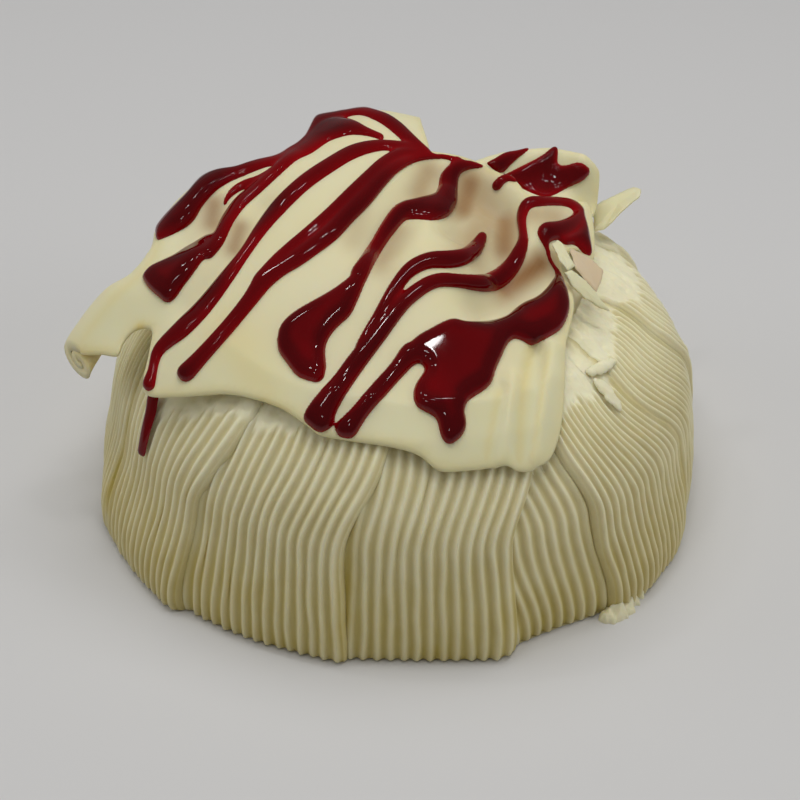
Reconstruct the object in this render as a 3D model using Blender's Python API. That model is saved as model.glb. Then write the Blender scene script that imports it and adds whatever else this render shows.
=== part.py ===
"""White chocolate raspberry cheesecake, whole and uncut.

A round cake coated in ribbed bands of cream, with a ruffled sheet of white
chocolate on top, curls and shards of the same chocolate, and a thick
raspberry drizzle.

The origin is the middle of the base, +Z is up and +Y points away from the
side that is seen first. Sizes are in millimetres, and to_metres() turns them
into Blender's units. Where a piece was placed by eye in the reference view,
its points are pixels of that 800 x 800 view, and sight() carries them down
to the surface that holds the piece.
"""

import math

import bmesh
import bpy
import numpy as np
from mathutils import Euler, Vector
from mathutils.geometry import delaunay_2d_cdt

# Body of the cake
FOOT_RADIUS = 101.2
BODY_HEIGHT = 89.0
# Radius and height of the coat, from the base up over the shoulder
COAT_PROFILE = (
    (100.5, 0.0), (102.0, 3.0), (102.6, 20.0), (101.2, 38.0), (97.6, 50.0),
    (92.0, 60.0), (85.3, 68.0), (76.5, 75.5), (64.0, 81.5), (40.0, 87.0),
)
# The coat droops on one side of the shoulder and is flatter at one flank
SHOULDER_DROP, SHOULDER_DROP_AZIMUTH = 3.0, 350.0
FLANK_TRIM, FLANK_TRIM_AZIMUTH = 2.0, 185.0

# Foot of the coat: azimuth in degrees and distance from the axis. It has a
# corner at most seams, because the bands are laid nearly flat
FOOT = (
    (202.4, 108.6), (210.0, 107.7), (222.5, 107.8), (227.3, 108.2), (231.0, 107.1), (241.6, 105.9),
    (250.0, 104.9), (257.0, 104.7), (262.0, 105.1), (270.0, 103.8), (276.0, 103.8), (282.0, 104.9),
    (288.0, 106.3), (291.0, 104.3), (297.0, 102.8), (301.5, 102.8), (309.2, 104.7), (318.8, 106.3),
    (326.0, 105.6), (333.7, 106.0), (337.5, 105.4), (341.0, 102.8), (352.0, 103.4), (365.0, 103.8),
    (378.0, 102.8), (391.0, 104.0), (404.0, 102.8), (417.0, 103.8), (430.0, 102.8), (443.0, 104.4),
    (456.0, 103.0), (469.0, 103.8), (482.0, 103.0), (495.0, 104.4), (507.0, 103.0), (519.0, 103.2),
    (531.0, 102.4), (542.0, 102.4), (552.0, 103.6), (558.0, 106.6),
)

# Piped bands: each seam's azimuth at the base, at half height and at the
# shoulder
SEAMS = (
    (204.8, 203.0, 198.0), (229.4, 230.5, 236.5), (260.9, 259.6, 266.8), (290.6, 289.6, 295.5),
    (310.5, 304.5, 300.5), (339.8, 338.0, 327.0), (365.0, 362.0, 352.0), (391.0, 389.0, 382.0),
    (417.0, 418.0, 414.0), (443.0, 441.0, 436.0), (469.0, 470.0, 466.0), (495.0, 493.0, 490.0),
    (519.0, 518.0, 514.0), (542.0, 539.0, 534.0),
)
LOWEST_BAND = 3
RIB_PITCH = 3.7
RIB_DEPTH = 1.3
BAND_LAP = 3.0
RIBS_END_RADII = (64.0, 74.0)
SEAM_GAP = 0.25
TUCK_DEPTH = 0.6
HIGHEST_RELIEF = BAND_LAP - TUCK_DEPTH + 0.5 * RIB_DEPTH
MID_HEIGHT = 42.0
SHOULDER_HEIGHT = 64.0
# Heights over which the corners of the foot round off, the droop and the flat
# flank set in, the relief turns from outwards to upwards, and the ribs come up
# from nothing under the base
SQUARE_HEIGHTS = (4.0, 40.0)
DROP_HEIGHTS = (35.0, 75.0)
TRIM_HEIGHTS = (10.0, 35.0)
SHOULDER_TURN = (30.0, 84.0)
RIBS_START = (-2.0, 4.0)

# Chocolate
SHEET_THICKNESS = 1.6
SHEET_BODY_SLOPE = 0.9
# Lines that are kept as edges stay this far inside a sheet's outline
EDGE_CLEARANCE = 1.2
REST_GAP = 1.2
MOUND_APEX = (-10.0, 25.0)
MOUND_HEIGHT = 118.0
MOUND_FALL = 0.0042

# Sauce
SAUCE_HEIGHT = 2.4
SAUCE_ROUNDING = 3.2

# The reference view: where the eye is, how it is turned and its focal length
EYE = Vector((-4.5, -504.4, 381.9))
EYE_TURN = Euler((math.radians(54.91), math.radians(-1.243), math.radians(0.394)))
VIEW_CENTRE = 400.0
FOCAL_PIXELS = 1732.6
NEAREST, FURTHEST = 420.0, 760.0

# Folds of the ruffled sheet: pixels along the fold, half width and rise in mm
FOLDS = (
    (((80, 343), (104, 305)), 13.0, 2.2),
    (((270, 165), (200, 197), (152, 252), (120, 296)), 12.0, 3.0),
    (((242, 190), (216, 214), (198, 236)), 7.0, -4.0),
    (((250, 197), (222, 240), (182, 280), (150, 300)), 7.0, 1.5),
    (((262, 207), (240, 236), (222, 262), (196, 300)), 6.0, -3.0),
    (((436, 168), (424, 183), (404, 206), (380, 236)), 9.0, -3.5),
    (((478, 178), (467, 196), (461, 216)), 9.0, -4.5),
    (((506, 195), (508, 216), (503, 240), (494, 256)), 8.0, -4.0),
    (((548, 258), (530, 273), (508, 289), (478, 302), (440, 320)), 8.0, -4.0),
    (((536, 345), (527, 400), (523, 460)), 4.0, -2.0),
    (((500, 392), (491, 430), (487, 460)), 4.0, -1.6),
    (((554, 350), (546, 400), (536, 458)), 5.0, 1.6),
    (((514, 380), (508, 430), (506, 460)), 5.0, 1.6),
)

# Edge of the ruffled sheet: its crest and its front are seen, in pixels, and
# its back, which drapes down behind, is in mm
SHEET_CREST = (
    (430, 150), (470, 158), (500, 172), (516, 180), (530, 194), (551, 197), (575, 200),
    (590, 206),
)
SHEET_FRONT = (
    (594, 256), (576, 248), (562, 262), (569, 282), (574, 302), (571, 322), (566, 345), (564, 400),
    (558, 438), (546, 460), (526, 469), (493, 465), (475, 467), (441, 468), (420, 453), (400, 446),
    (365, 440), (345, 437), (320, 432), (305, 421), (280, 405), (250, 395), (225, 391), (175, 394),
    (144, 389), (149, 351), (152, 329), (142, 326), (131, 331), (122, 343), (118, 353), (104, 352),
)
SHEET_BACK = (
    (-107.5, -31.5), (-100.5, -21), (-94, -12), (-87.5, -4), (-80, 4), (-72.5, 11), (-64, 18),
    (-57, 19.5), (-50, 20.5), (-42, 23), (-36, 32), (-33, 44), (-31.5, 56), (-29, 67), (-23, 76),
    (-12, 81), (0, 76), (4, 60), (5, 42),
)
LIP_WIDTH = 13.0

# The hood is where the sheet arches highest and drops down the far side
HOOD_CENTRE = (-13.0, 44.0)
HOOD_RADIUS = 17.0
HOOD_RISE = 3.0
HOOD_FALL = 0.028

# Sheet behind on the left: its outline and top in mm
BACK_SHEET_EDGE = (
    (-81, 15), (-67, 26.5), (-52, 30), (-42.5, 30.5), (-38.5, 40), (-35.5, 53), (-32.5, 67),
    (-28, 79), (-42, 79), (-58, 67), (-72, 51), (-82, 32),
)
BACK_SHEET_TOP = (-46.0, 28.0, 96.0)
BACK_SHEET_FALL = 0.0105
BACK_SHEET_WAVE, BACK_SHEET_WAVE_RUN = 1.6, 6.2

# Trough on the right that holds a pool of sauce: its outline behind the crest
# in mm, the line of its rim with its rise, and its level
TROUGH_EDGE = (
    (65, 22), (69, 28), (70, 38), (66, 51), (57, 63), (44, 73), (28, 79), (13, 81), (5, 76),
    (4, 60), (6, 42),
)
TROUGH_RIM = ((22, 30, 9), (34, 37, 11), (48, 42, 11), (58, 39, 13), (66, 32, 15), (68, 25, 9))
TROUGH_LEVEL = 98.0
TROUGH_DROOP_START, TROUGH_DROOP = 50.0, 0.20
TROUGH_RIM_WIDTH = 7.0
# A second rise on the far left of the trough: its place and height in mm
TROUGH_TIP = (9.0, 60.0, 9.0)
TROUGH_TIP_RADIUS = 9.0
# At its front the trough is no higher than this under the crest, and it takes
# this far behind the crest to come up to its own height
TROUGH_UNDER_CREST = 2.0
TROUGH_RISE_RUN = 12.0
# Behind the line y = start + slope * x the trough falls away to the coat
TROUGH_BACK_START, TROUGH_BACK_SLOPE = 34.0, 0.25
TROUGH_FALL = 0.020
TROUGH_CREST_GAP = 1.6
POOL = ((34, 21, 3.0), (42, 27, 7.0), (52, 29, 7.0), (61, 30, 4.0))

# Roll that the sheet's left edge curls under into: the sheet's edge along it in
# mm with the roll's radius, and how far it turns there, in degrees
ROLL = (
    (-107.5, -31.5, 6.4, 275), (-100.5, -21, 6.2, 265), (-94, -12, 5.6, 245), (-87.5, -4, 4.6, 220),
    (-80, 4, 3.2, 190),
)
ROLL_LEAD = 22.0
ROLL_THICKNESS = 1.1
ROLL_INSET = 0.25
ROLL_TIGHTENING = 0.3
ROLL_STEPS = 15

# Shards: corners in pixels with their heights in mm
SHARDS = {
    "shard_right": (
        (593, 208, 86.0), (640, 189, 90.0), (642, 197, 90.0), (622, 211, 88.0), (606, 228, 84.0),
        (594, 230, 84.0),
    ),
    "chip_upright": ((553, 244, 98.7), (561, 241, 99.7), (574, 265, 95.5), (567, 272, 94.0)),
    "chip_folded": ((573, 250, 96.3), (602, 269, 91.2), (597, 291, 87.9), (576, 270, 93.3)),
    "strip_long": ((564, 277, 94.6), (572, 273, 94.5), (610, 308, 83.9), (607, 317, 83.2)),
}
SHARD_THICKNESS = 1.1

# Strands of sauce on the sheet: pixels along the middle with the strand's
# width in pixels at each of them
STRANDS = {
    "left_edge": (
        (157, 236, 12), (183, 215, 24), (203, 195, 16), (229, 177, 10), (262, 168, 6), (290, 152, 6),
    ),
    "left_pool": ((158, 286, 26), (176, 272, 34), (197, 254, 26), (213, 240, 12)),
    "second": (
        (208, 252, 14), (222, 232, 12), (239, 204, 12), (254, 191, 12), (272, 179, 12),
        (295, 160, 14), (320, 140, 16), (340, 131, 14), (360, 130, 10), (384, 139, 6),
    ),
    "crown": (
        (300, 146, 6), (318, 126, 8), (340, 114, 10), (370, 112, 9), (400, 124, 10), (424, 148, 6),
    ),
    "third": (
        (150, 386, 13), (152, 371, 11), (160, 350, 14), (178, 327, 19), (203, 304, 20),
        (226, 276, 15), (244, 253, 13), (262, 228, 14), (280, 206, 16), (305, 184, 17),
        (331, 166, 17), (356, 153, 12), (382, 147, 10), (407, 147, 8), (428, 151, 6),
    ),
    "fourth": (
        (188, 376, 15), (203, 358, 14), (229, 327, 15), (249, 299, 18), (267, 277, 22),
        (282, 258, 24), (305, 240, 28), (331, 216, 28), (356, 195, 28), (379, 171, 22),
        (404, 157, 12), (430, 155, 6),
    ),
    "fifth": (
        (305, 366, 32), (300, 335, 44), (318, 312, 36), (340, 296, 32), (361, 272, 22),
        (377, 243, 16), (389, 224, 18), (402, 207, 20), (420, 200, 18), (443, 202, 26),
        (448, 180, 22), (461, 168, 16), (486, 168, 6),
    ),
    "sixth": (
        (485, 233, 12), (478, 247, 18), (467, 255, 16), (451, 260, 15), (431, 262, 14),
        (412, 272, 14), (396, 292, 13), (379, 318, 12),
    ),
    "seventh": (
        (547, 234, 20), (560, 230, 20), (575, 224, 14), (580, 212, 11), (570, 202, 9),
        (545, 200, 10), (527, 203, 14), (523, 218, 12), (522, 236, 18), (514, 256, 24),
        (500, 270, 24), (484, 282, 20), (461, 282, 18), (441, 284, 18), (420, 294, 18),
        (400, 312, 18), (384, 334, 18), (364, 362, 20), (344, 388, 22), (322, 416, 28),
    ),
    "eighth": (
        (349, 430, 17), (362, 411, 16), (380, 389, 16), (398, 368, 16), (416, 352, 24),
        (436, 345, 40), (462, 350, 56), (488, 342, 52), (510, 332, 34), (530, 322, 38),
        (552, 306, 42), (562, 286, 28),
    ),
    "eighth_tail": ((452, 358, 60), (458, 380, 46), (452, 402, 30), (454, 420, 26), (454, 438, 16)),
}

# Drip on the coat below the left end of the sheet, in pixels with its width
COAT_DRIP = ((152, 402, 9), (147, 418, 10), (143, 436, 10), (143, 455, 8))
DRIP_PROUD = 0.35

# Smear of cream on the foot of the coat
SMEAR_PIXEL = (619, 606)
SMEAR_SIZE = (10.0, 5.5, 4.5)

# Finishes: name, colour and roughness
CREAM = ("whipped_cream", (0.78, 0.73, 0.52), 0.55)
CHOCOLATE = ("white_chocolate", (0.80, 0.72, 0.48), 0.35)
SHARP_ANGLE = math.radians(35.0)


def to_metres(point):
    """A point in millimetres as a Vector in metres."""
    return Vector(point) * 0.001


def blend(low, high, value):
    """0 below low, 1 above high and a smooth step between them."""
    share = min(max((value - low) / (high - low), 0.0), 1.0)
    return share * share * (3.0 - 2.0 * share)


def clear_scene():
    """Removes every object that the file opened with."""
    for thing in list(bpy.data.objects):
        bpy.data.objects.remove(thing)


def material(node, finish):
    """A plain Principled material of its own for one node."""
    name, colour, roughness = finish
    made = bpy.data.materials.new(f"{name}_{node}")
    made.use_nodes = True
    shader = made.node_tree.nodes["Principled BSDF"]
    shader.inputs["Base Color"].default_value = (*colour, 1.0)
    shader.inputs["Roughness"].default_value = roughness
    shader.inputs["Metallic"].default_value = 0.0
    return made


def mesh_object(name, points, faces, finish):
    """A named object from points in millimetres and faces of point numbers."""
    data = bpy.data.meshes.new(name)
    data.from_pydata([to_metres(p) for p in points], [], faces)
    data.materials.append(material(name, finish))
    data.validate()
    shape = bmesh.new()
    shape.from_mesh(data)
    bmesh.ops.recalc_face_normals(shape, faces=shape.faces)
    shape.to_mesh(data)
    shape.free()
    data.shade_smooth()
    data.set_sharp_from_angle(angle=SHARP_ANGLE)
    made = bpy.data.objects.new(name, data)
    bpy.context.scene.collection.objects.link(made)
    return made


def smooth_line(points, spacing):
    """Points every spacing along a Catmull-Rom curve through the given ones."""
    given = [np.array(p, float) for p in points]
    ends = [2 * given[0] - given[1], *given, 2 * given[-1] - given[-2]]
    line = [given[0]]
    for a, b, c, d in zip(ends, ends[1:], ends[2:], ends[3:]):
        steps = max(1, round(float(np.linalg.norm((c - b)[:2])) / spacing))
        for step in range(1, steps + 1):
            t = step / steps
            line.append(0.5 * (2 * b + (c - a) * t + (2 * a - 5 * b + 4 * c - d) * t ** 2
                               + (3 * b - a - 3 * c + d) * t ** 3))
    return line


# The coat of cream

def seam_azimuth(seam, height):
    """Azimuth in degrees of one seam at a height above the base."""
    foot, middle, shoulder = SEAMS[seam % len(SEAMS)]
    turns = 360.0 * (seam // len(SEAMS))
    if height < MID_HEIGHT:
        return turns + foot + (middle - foot) * blend(0.0, MID_HEIGHT, height)
    lean = (shoulder - middle) / (SHOULDER_HEIGHT - MID_HEIGHT)
    above = min(height, SHOULDER_HEIGHT) - MID_HEIGHT
    return turns + middle + lean * above * above / (SHOULDER_HEIGHT - MID_HEIGHT)


def foot_reach(azimuth):
    """How far the foot of the coat stands out, as a share of FOOT_RADIUS."""
    azimuths, radii = zip(*FOOT)
    return float(np.interp(azimuth % 360.0, azimuths, radii, period=360.0)) / FOOT_RADIUS


def coat_point(azimuth, radius, height, relief):
    """A point of the coat, with relief measured outwards along its slope."""
    squareness = 1.0 - blend(*SQUARE_HEIGHTS, height)
    reach = 1.0 + (foot_reach(azimuth) - 1.0) * squareness
    side = math.cos(math.radians(azimuth - SHOULDER_DROP_AZIMUTH))
    drop = SHOULDER_DROP * max(side, 0.0) * blend(*DROP_HEIGHTS, height)
    flank = max(math.cos(math.radians(azimuth - FLANK_TRIM_AZIMUTH)), 0.0) ** 4
    trim = FLANK_TRIM * flank * blend(*TRIM_HEIGHTS, height)
    upward = blend(*SHOULDER_TURN, height)
    out = radius * reach - trim + relief * math.cos(upward * math.pi / 2)
    angle = math.radians(azimuth)
    up = height - drop + relief * math.sin(upward * math.pi / 2)
    return (out * math.cos(angle), out * math.sin(angle), up)


def coat_height(x, y):
    """Height of the coat's highest ridges over a point of the plan."""
    radius = math.hypot(x, y)
    azimuth = math.degrees(math.atan2(y, x)) % 360.0
    if radius >= COAT_PROFILE[2][0]:
        return COAT_PROFILE[2][1]
    radii, heights = [0.0], [BODY_HEIGHT]
    for row_radius, row_height in COAT_PROFILE[:1:-1]:
        relief = HIGHEST_RELIEF * rib_fade(row_radius)
        px, py, pz = coat_point(azimuth, row_radius, row_height, relief)
        radii.append(math.hypot(px, py))
        heights.append(pz)
    return float(np.interp(radius, radii, heights))


def rib_fade(radius):
    """1 where the ribs are full and 0 towards the middle of the top."""
    return blend(*RIBS_END_RADII, radius)


def band_lift(band, share):
    """How far a band stands out across its width.

    Bands are laid away from the lowest one on both sides, so each has one
    edge under its neighbour and the other over the one before.
    """
    if band == LOWEST_BAND:
        return -TUCK_DEPTH
    over = share if band < LOWEST_BAND else 1.0 - share
    return BAND_LAP * over - TUCK_DEPTH


def make_cake(cream):
    """The uncut cake in its coat of ribbed bands, with the drip fused on."""
    columns = []
    for band in range(len(SEAMS)):
        width = math.radians(seam_azimuth(band + 1, 0.0) - seam_azimuth(band, 0.0)) * FOOT_RADIUS
        ribs = round(width / RIB_PITCH)
        for line in range(2 * ribs + 1):
            columns.append((band, line / (2 * ribs), 1.0 if line % 2 else 0.0))
    points = []
    for radius, height in COAT_PROFILE:
        for band, share, ridge in columns:
            start = seam_azimuth(band, height) + SEAM_GAP
            end = seam_azimuth(band + 1, height) - SEAM_GAP
            azimuth = start + (end - start) * share
            relief = (RIB_DEPTH * (ridge - 0.5) + band_lift(band, share)) * rib_fade(radius)
            relief *= blend(*RIBS_START, height)
            points.append(coat_point(azimuth, radius, height, relief))
    count = len(columns)
    faces = []
    for row in range(len(COAT_PROFILE) - 1):
        for column in range(count):
            a = row * count + column
            b = row * count + (column + 1) % count
            faces.append((a, b, b + count, a + count))
    points.append((0.0, 0.0, 0.0))
    points.append((0.0, 0.0, BODY_HEIGHT))
    top = (len(COAT_PROFILE) - 1) * count
    for column in range(count):
        after = (column + 1) % count
        faces.append((after, column, len(points) - 2))
        faces.append((top + column, top + after, len(points) - 1))
    cake = mesh_object("cake", points, faces, cream)
    return fuse(cake, [make_drip(cream), make_smear(cream)])


def fuse(body, extras):
    """Joins the extra solids to the body, in one union, and removes them."""
    group = bpy.data.collections.new("fused")
    bpy.context.scene.collection.children.link(group)
    for extra in extras:
        bpy.context.scene.collection.objects.unlink(extra)
        group.objects.link(extra)
    union = body.modifiers.new("union", "BOOLEAN")
    union.operation = "UNION"
    union.operand_type = "COLLECTION"
    union.collection = group
    union.solver = "EXACT"
    bpy.context.view_layer.update()
    graph = bpy.context.evaluated_depsgraph_get()
    joined = bpy.data.meshes.new_from_object(body.evaluated_get(graph))
    own = body.data.materials[0]
    joined.materials.clear()
    joined.materials.append(own)
    joined.polygons.foreach_set("material_index", [0] * len(joined.polygons))
    joined.shade_smooth()
    joined.set_sharp_from_angle(angle=SHARP_ANGLE)
    body.modifiers.clear()
    body.data = joined
    for extra in extras:
        bpy.data.objects.remove(extra)
    bpy.data.collections.remove(group)
    return body


def make_drip(finish):
    """The drip of sauce that ran down the coat, a flat bead with round ends."""
    dots = []
    for px, py, across in COAT_DRIP:
        spot = sight(px, py, coat_height)
        dots.append((*spot, 0.5 * across * (spot - EYE).length / FOCAL_PIXELS))
    line = smooth_line(dots, 4.0)
    sides = 8
    points = []
    for index, (x, y, z, radius) in enumerate(line):
        outward = Vector((x, y, 0.0)).normalized()
        across = outward.cross(Vector((0.0, 0.0, 1.0)))
        middle = Vector((x, y, z)) - outward * (1.0 - DRIP_PROUD) * radius
        end = index in (0, len(line) - 1)
        for side in range(sides):
            turn = 2 * math.pi * side / sides
            girth = radius * (0.55 if end else 1.0)
            points.append(middle + (across * math.cos(turn) + outward * math.sin(turn)) * girth)
    return lofted("drip", points, sides, finish)


def make_smear(finish):
    """The lump of cream pushed out at the foot of the coat."""
    foot = sight(*SMEAR_PIXEL, lambda x, y: 0.5)
    shape = bmesh.new()
    bmesh.ops.create_icosphere(shape, subdivisions=2, radius=1.0)
    along = Vector((-foot.y, foot.x, 0.0)).normalized()
    outward = Vector((foot.x, foot.y, 0.0)).normalized()
    points = []
    for vert in shape.verts:
        lumpy = 1.0 + 0.18 * math.sin(5.0 * vert.co.x + 2.0) * math.cos(4.0 * vert.co.y)
        spot = (along * vert.co.x * SMEAR_SIZE[0] + outward * vert.co.y * SMEAR_SIZE[1]) * lumpy
        up = SMEAR_SIZE[2] * (vert.co.z * lumpy + 0.6)
        points.append((foot.x + spot.x, foot.y + spot.y, max(up, 0.0)))
    faces = [tuple(v.index for v in face.verts) for face in shape.faces]
    shape.free()
    return mesh_object("smear", points, faces, finish)


def lofted(name, points, sides, finish):
    """A closed tube through rings of points, with flat ends."""
    rings = len(points) // sides
    faces = [tuple(range(sides))[::-1], tuple(range((rings - 1) * sides, rings * sides))]
    for ring in range(rings - 1):
        for side in range(sides):
            a = ring * sides + side
            b = ring * sides + (side + 1) % sides
            faces.append((a, b, b + sides, a + sides))
    return mesh_object(name, points, faces, finish)


# The ruffled sheet

def sight(px, py, surface):
    """Where the line of sight through a pixel first meets a height surface."""
    across = (px - VIEW_CENTRE) / FOCAL_PIXELS
    down = (py - VIEW_CENTRE) / FOCAL_PIXELS
    ray = EYE_TURN.to_matrix() @ Vector((across, -down, -1.0)).normalized()
    closest, gap = NEAREST, 1e9
    reach = NEAREST
    while reach < FURTHEST:
        point = EYE + ray * reach
        above = point.z - surface(point.x, point.y)
        if above < gap:
            closest, gap = reach, above
        if above <= 0.0:
            break
        reach += 1.0
    if gap <= 0.0:
        low, high = closest - 1.0, closest
        for _ in range(20):
            middle = 0.5 * (low + high)
            point = EYE + ray * middle
            if point.z > surface(point.x, point.y):
                low = middle
            else:
                high = middle
        closest = high
    return EYE + ray * closest


def mound(x, y):
    """The dome that the chocolate is draped over."""
    away = (x - MOUND_APEX[0]) ** 2 + (y - MOUND_APEX[1]) ** 2
    dome = MOUND_HEIGHT - MOUND_FALL * away
    hood = math.hypot(x - HOOD_CENTRE[0], y - HOOD_CENTRE[1]) / HOOD_RADIUS
    dome += HOOD_RISE * math.exp(-hood * hood) - HOOD_FALL * max(y - HOOD_CENTRE[1], 0.0) ** 2
    return ease_up(dome, coat_height(x, y) + REST_GAP + SHEET_THICKNESS)


def ease_up(free, rest):
    """A free height where it is above its rest, eased into the rest below it."""
    ease = 4.0
    top = max(free, rest)
    lower = min(free, rest)
    return top + ease * math.log(1.0 + math.exp((lower - top) / ease)) - 0.7


def distance_to(line, x, y):
    """(distance, share of the way) from a point to the nearest place on a line."""
    best = (1e9, 0.0)
    for index, (a, b) in enumerate(zip(line, line[1:])):
        ax, ay, bx, by = a[0], a[1], b[0] - a[0], b[1] - a[1]
        along = ((x - ax) * bx + (y - ay) * by) / max(bx * bx + by * by, 1e-9)
        along = min(max(along, 0.0), 1.0)
        away = math.hypot(x - ax - along * bx, y - ay - along * by)
        if away < best[0]:
            best = (away, index + along)
    return best[0], best[1]


class Ruffle:
    """The ruffled sheet's form: the dome, its folds and the sauce on it."""

    def __init__(self):
        self.folds = []
        for pixels, width, rise in FOLDS:
            line = [tuple(sight(px, py, mound)[:2]) for px, py in pixels]
            self.folds.append((line, width, rise))
        self.strands = {}
        for name, dots in STRANDS.items():
            line = []
            for px, py, across in dots:
                spot = sight(px, py, self.height)
                scale = (spot - EYE).length / FOCAL_PIXELS
                line.append((spot.x, spot.y, 0.5 * across * scale))
            self.strands[name] = smooth_line(line, 6.5)

    def height(self, x, y):
        """Height of the bare sheet's upper face."""
        folds = 0.0
        for line, width, rise in self.folds:
            away, _ = distance_to(line, x, y)
            folds += rise * math.exp(-((away / width) ** 2))
        rest = coat_height(x, y) + REST_GAP + SHEET_THICKNESS
        return max(mound(x, y) + folds, rest)

    def sauce(self, x, y):
        """Thickness of the sauce over a point of the plan."""
        inside = 0.0
        for line in self.strands.values():
            away, place = distance_to(line, x, y)
            index = min(int(place), len(line) - 2)
            here = line[index][2] + (line[index + 1][2] - line[index][2]) * (place - index)
            inside = max(inside, here - away)
        share = min(inside / SAUCE_ROUNDING, 1.0)
        return SAUCE_HEIGHT * math.sqrt(1.0 - (1.0 - share) ** 2)


def strand_edges(line):
    """The two long edges of a strand and its middle, as lines in the plan."""
    middle = [p[:2] for p in line]
    sides = ([], [])
    for index, (x, y, half) in enumerate(line):
        before, after = line[max(index - 1, 0)], line[min(index + 1, len(line) - 1)]
        run = Vector((after[0] - before[0], after[1] - before[1])).normalized()
        for side, sign in zip(sides, (1.0, -1.0)):
            side.append((x - sign * run.y * half, y + sign * run.x * half))
    tip = line[-1]
    back = Vector((tip[0] - line[-2][0], tip[1] - line[-2][1])).normalized() * tip[2] * 0.8
    cap = (tip[0] + back.x, tip[1] + back.y)
    root = line[0]
    fore = Vector((root[0] - line[1][0], root[1] - line[1][1])).normalized() * root[2] * 0.8
    start = (root[0] + fore.x, root[1] + fore.y)
    return [start, *middle, cap], [start, *sides[0], cap, *sides[1][::-1], start]


def inside(outline, x, y):
    """Whether a point is inside a closed outline."""
    crossings = 0
    for a, b in zip(outline, [*outline[1:], outline[0]]):
        if (a[1] > y) != (b[1] > y):
            at = a[0] + (y - a[1]) * (b[0] - a[0]) / (b[1] - a[1])
            crossings += at > x
    return crossings % 2 == 1


def draped_solid(name, outline, lines, top, under, spacing, finish):
    """A closed solid over an outline in plan, with lines kept as edges.

    top and under give the heights of its two faces, which are split into
    triangles alike.
    """
    corners = [Vector(p[:2]) for p in outline]
    edges = []
    closed = [*outline, outline[0]]
    for line in lines:
        kept = [p for p in line if inside(outline, *p) and distance_to(closed, *p)[0] > EDGE_CLEARANCE]
        first = len(corners)
        corners += [Vector(p[:2]) for p in kept]
        edges += [(i, i + 1) for i in range(first, len(corners) - 1)]
    taken = [tuple(c) for c in corners]
    xs = [p[0] for p in outline]
    ys = [p[1] for p in outline]
    row = 0
    y = min(ys)
    while y < max(ys):
        x = min(xs) + (0.5 * spacing if row % 2 else 0.0)
        while x < max(xs):
            clear = all((x - a) ** 2 + (y - b) ** 2 > (0.62 * spacing) ** 2 for a, b in taken)
            if clear and inside(outline, x, y):
                corners.append(Vector((x, y)))
            x += spacing
        y += spacing * math.sqrt(0.75)
        row += 1
    ring = list(range(len(outline)))
    found = delaunay_2d_cdt(corners, edges, [ring], 1, 0.05)
    plan, _, triangles = found[:3]
    count = len(plan)
    points = [(p.x, p.y, top(p.x, p.y)) for p in plan]
    points += [(p.x, p.y, under(p.x, p.y)) for p in plan]
    faces = [tuple(t) for t in triangles]
    faces += [tuple(i + count for i in reversed(t)) for t in triangles]
    used = {}
    for t in triangles:
        for a, b in zip(t, [*t[1:], t[0]]):
            used[(a, b)] = True
    for a, b in used:
        if (b, a) not in used:
            faces.append((b, a, a + count))
            faces.append((b, a + count, b + count))
    return mesh_object(name, points, faces, finish)


def lipped(height, closed):
    """The underside of a draped sheet: a thin lip, then down to the coat."""
    def under(x, y):
        away, _ = distance_to(closed, x, y)
        thin = height(x, y) - SHEET_THICKNESS - SHEET_BODY_SLOPE * max(away - LIP_WIDTH, 0.0)
        return max(thin, coat_height(x, y) + REST_GAP)
    return under


def crest_line(ruffle):
    """The seen crest of the ruffled sheet, from left to right in the plan."""
    return [tuple(sight(px, py, ruffle.height)[:2]) for px, py in SHEET_CREST]


def make_sheet(ruffle, chocolate):
    """The big ruffled sheet of white chocolate with its drizzle fused on."""
    front = [tuple(sight(px, py, ruffle.height)[:2]) for px, py in SHEET_FRONT]
    corners = [*crest_line(ruffle), *front, *SHEET_BACK]
    closed = [tuple(p) for p in smooth_line([*corners, corners[0]], 7.0)]
    lines = []
    for strand in ruffle.strands.values():
        lines += strand_edges(strand)

    def top(x, y):
        return ruffle.height(x, y) + ruffle.sauce(x, y)

    under = lipped(ruffle.height, closed)
    sheet = draped_solid("ruffled_sheet", closed[:-1], lines, top, under, 8.0, chocolate)
    return fuse(sheet, [make_roll(ruffle, closed, chocolate)])


def make_back_sheet(chocolate):
    """The sheet that lies behind the ruffled one, on the left."""
    def height(x, y):
        away = (x - BACK_SHEET_TOP[0]) ** 2 + (y - BACK_SHEET_TOP[1]) ** 2
        wave = BACK_SHEET_WAVE * math.sin((x + 0.6 * y) / BACK_SHEET_WAVE_RUN)
        free = BACK_SHEET_TOP[2] - BACK_SHEET_FALL * away + wave
        rest = coat_height(x, y) + REST_GAP + SHEET_THICKNESS
        return max(ease_up(free, rest), rest)

    closed = [tuple(p) for p in smooth_line([*BACK_SHEET_EDGE, BACK_SHEET_EDGE[0]], 9.0)]
    return draped_solid("back_sheet", closed[:-1], [], height, lipped(height, closed), 9.0, chocolate)


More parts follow.
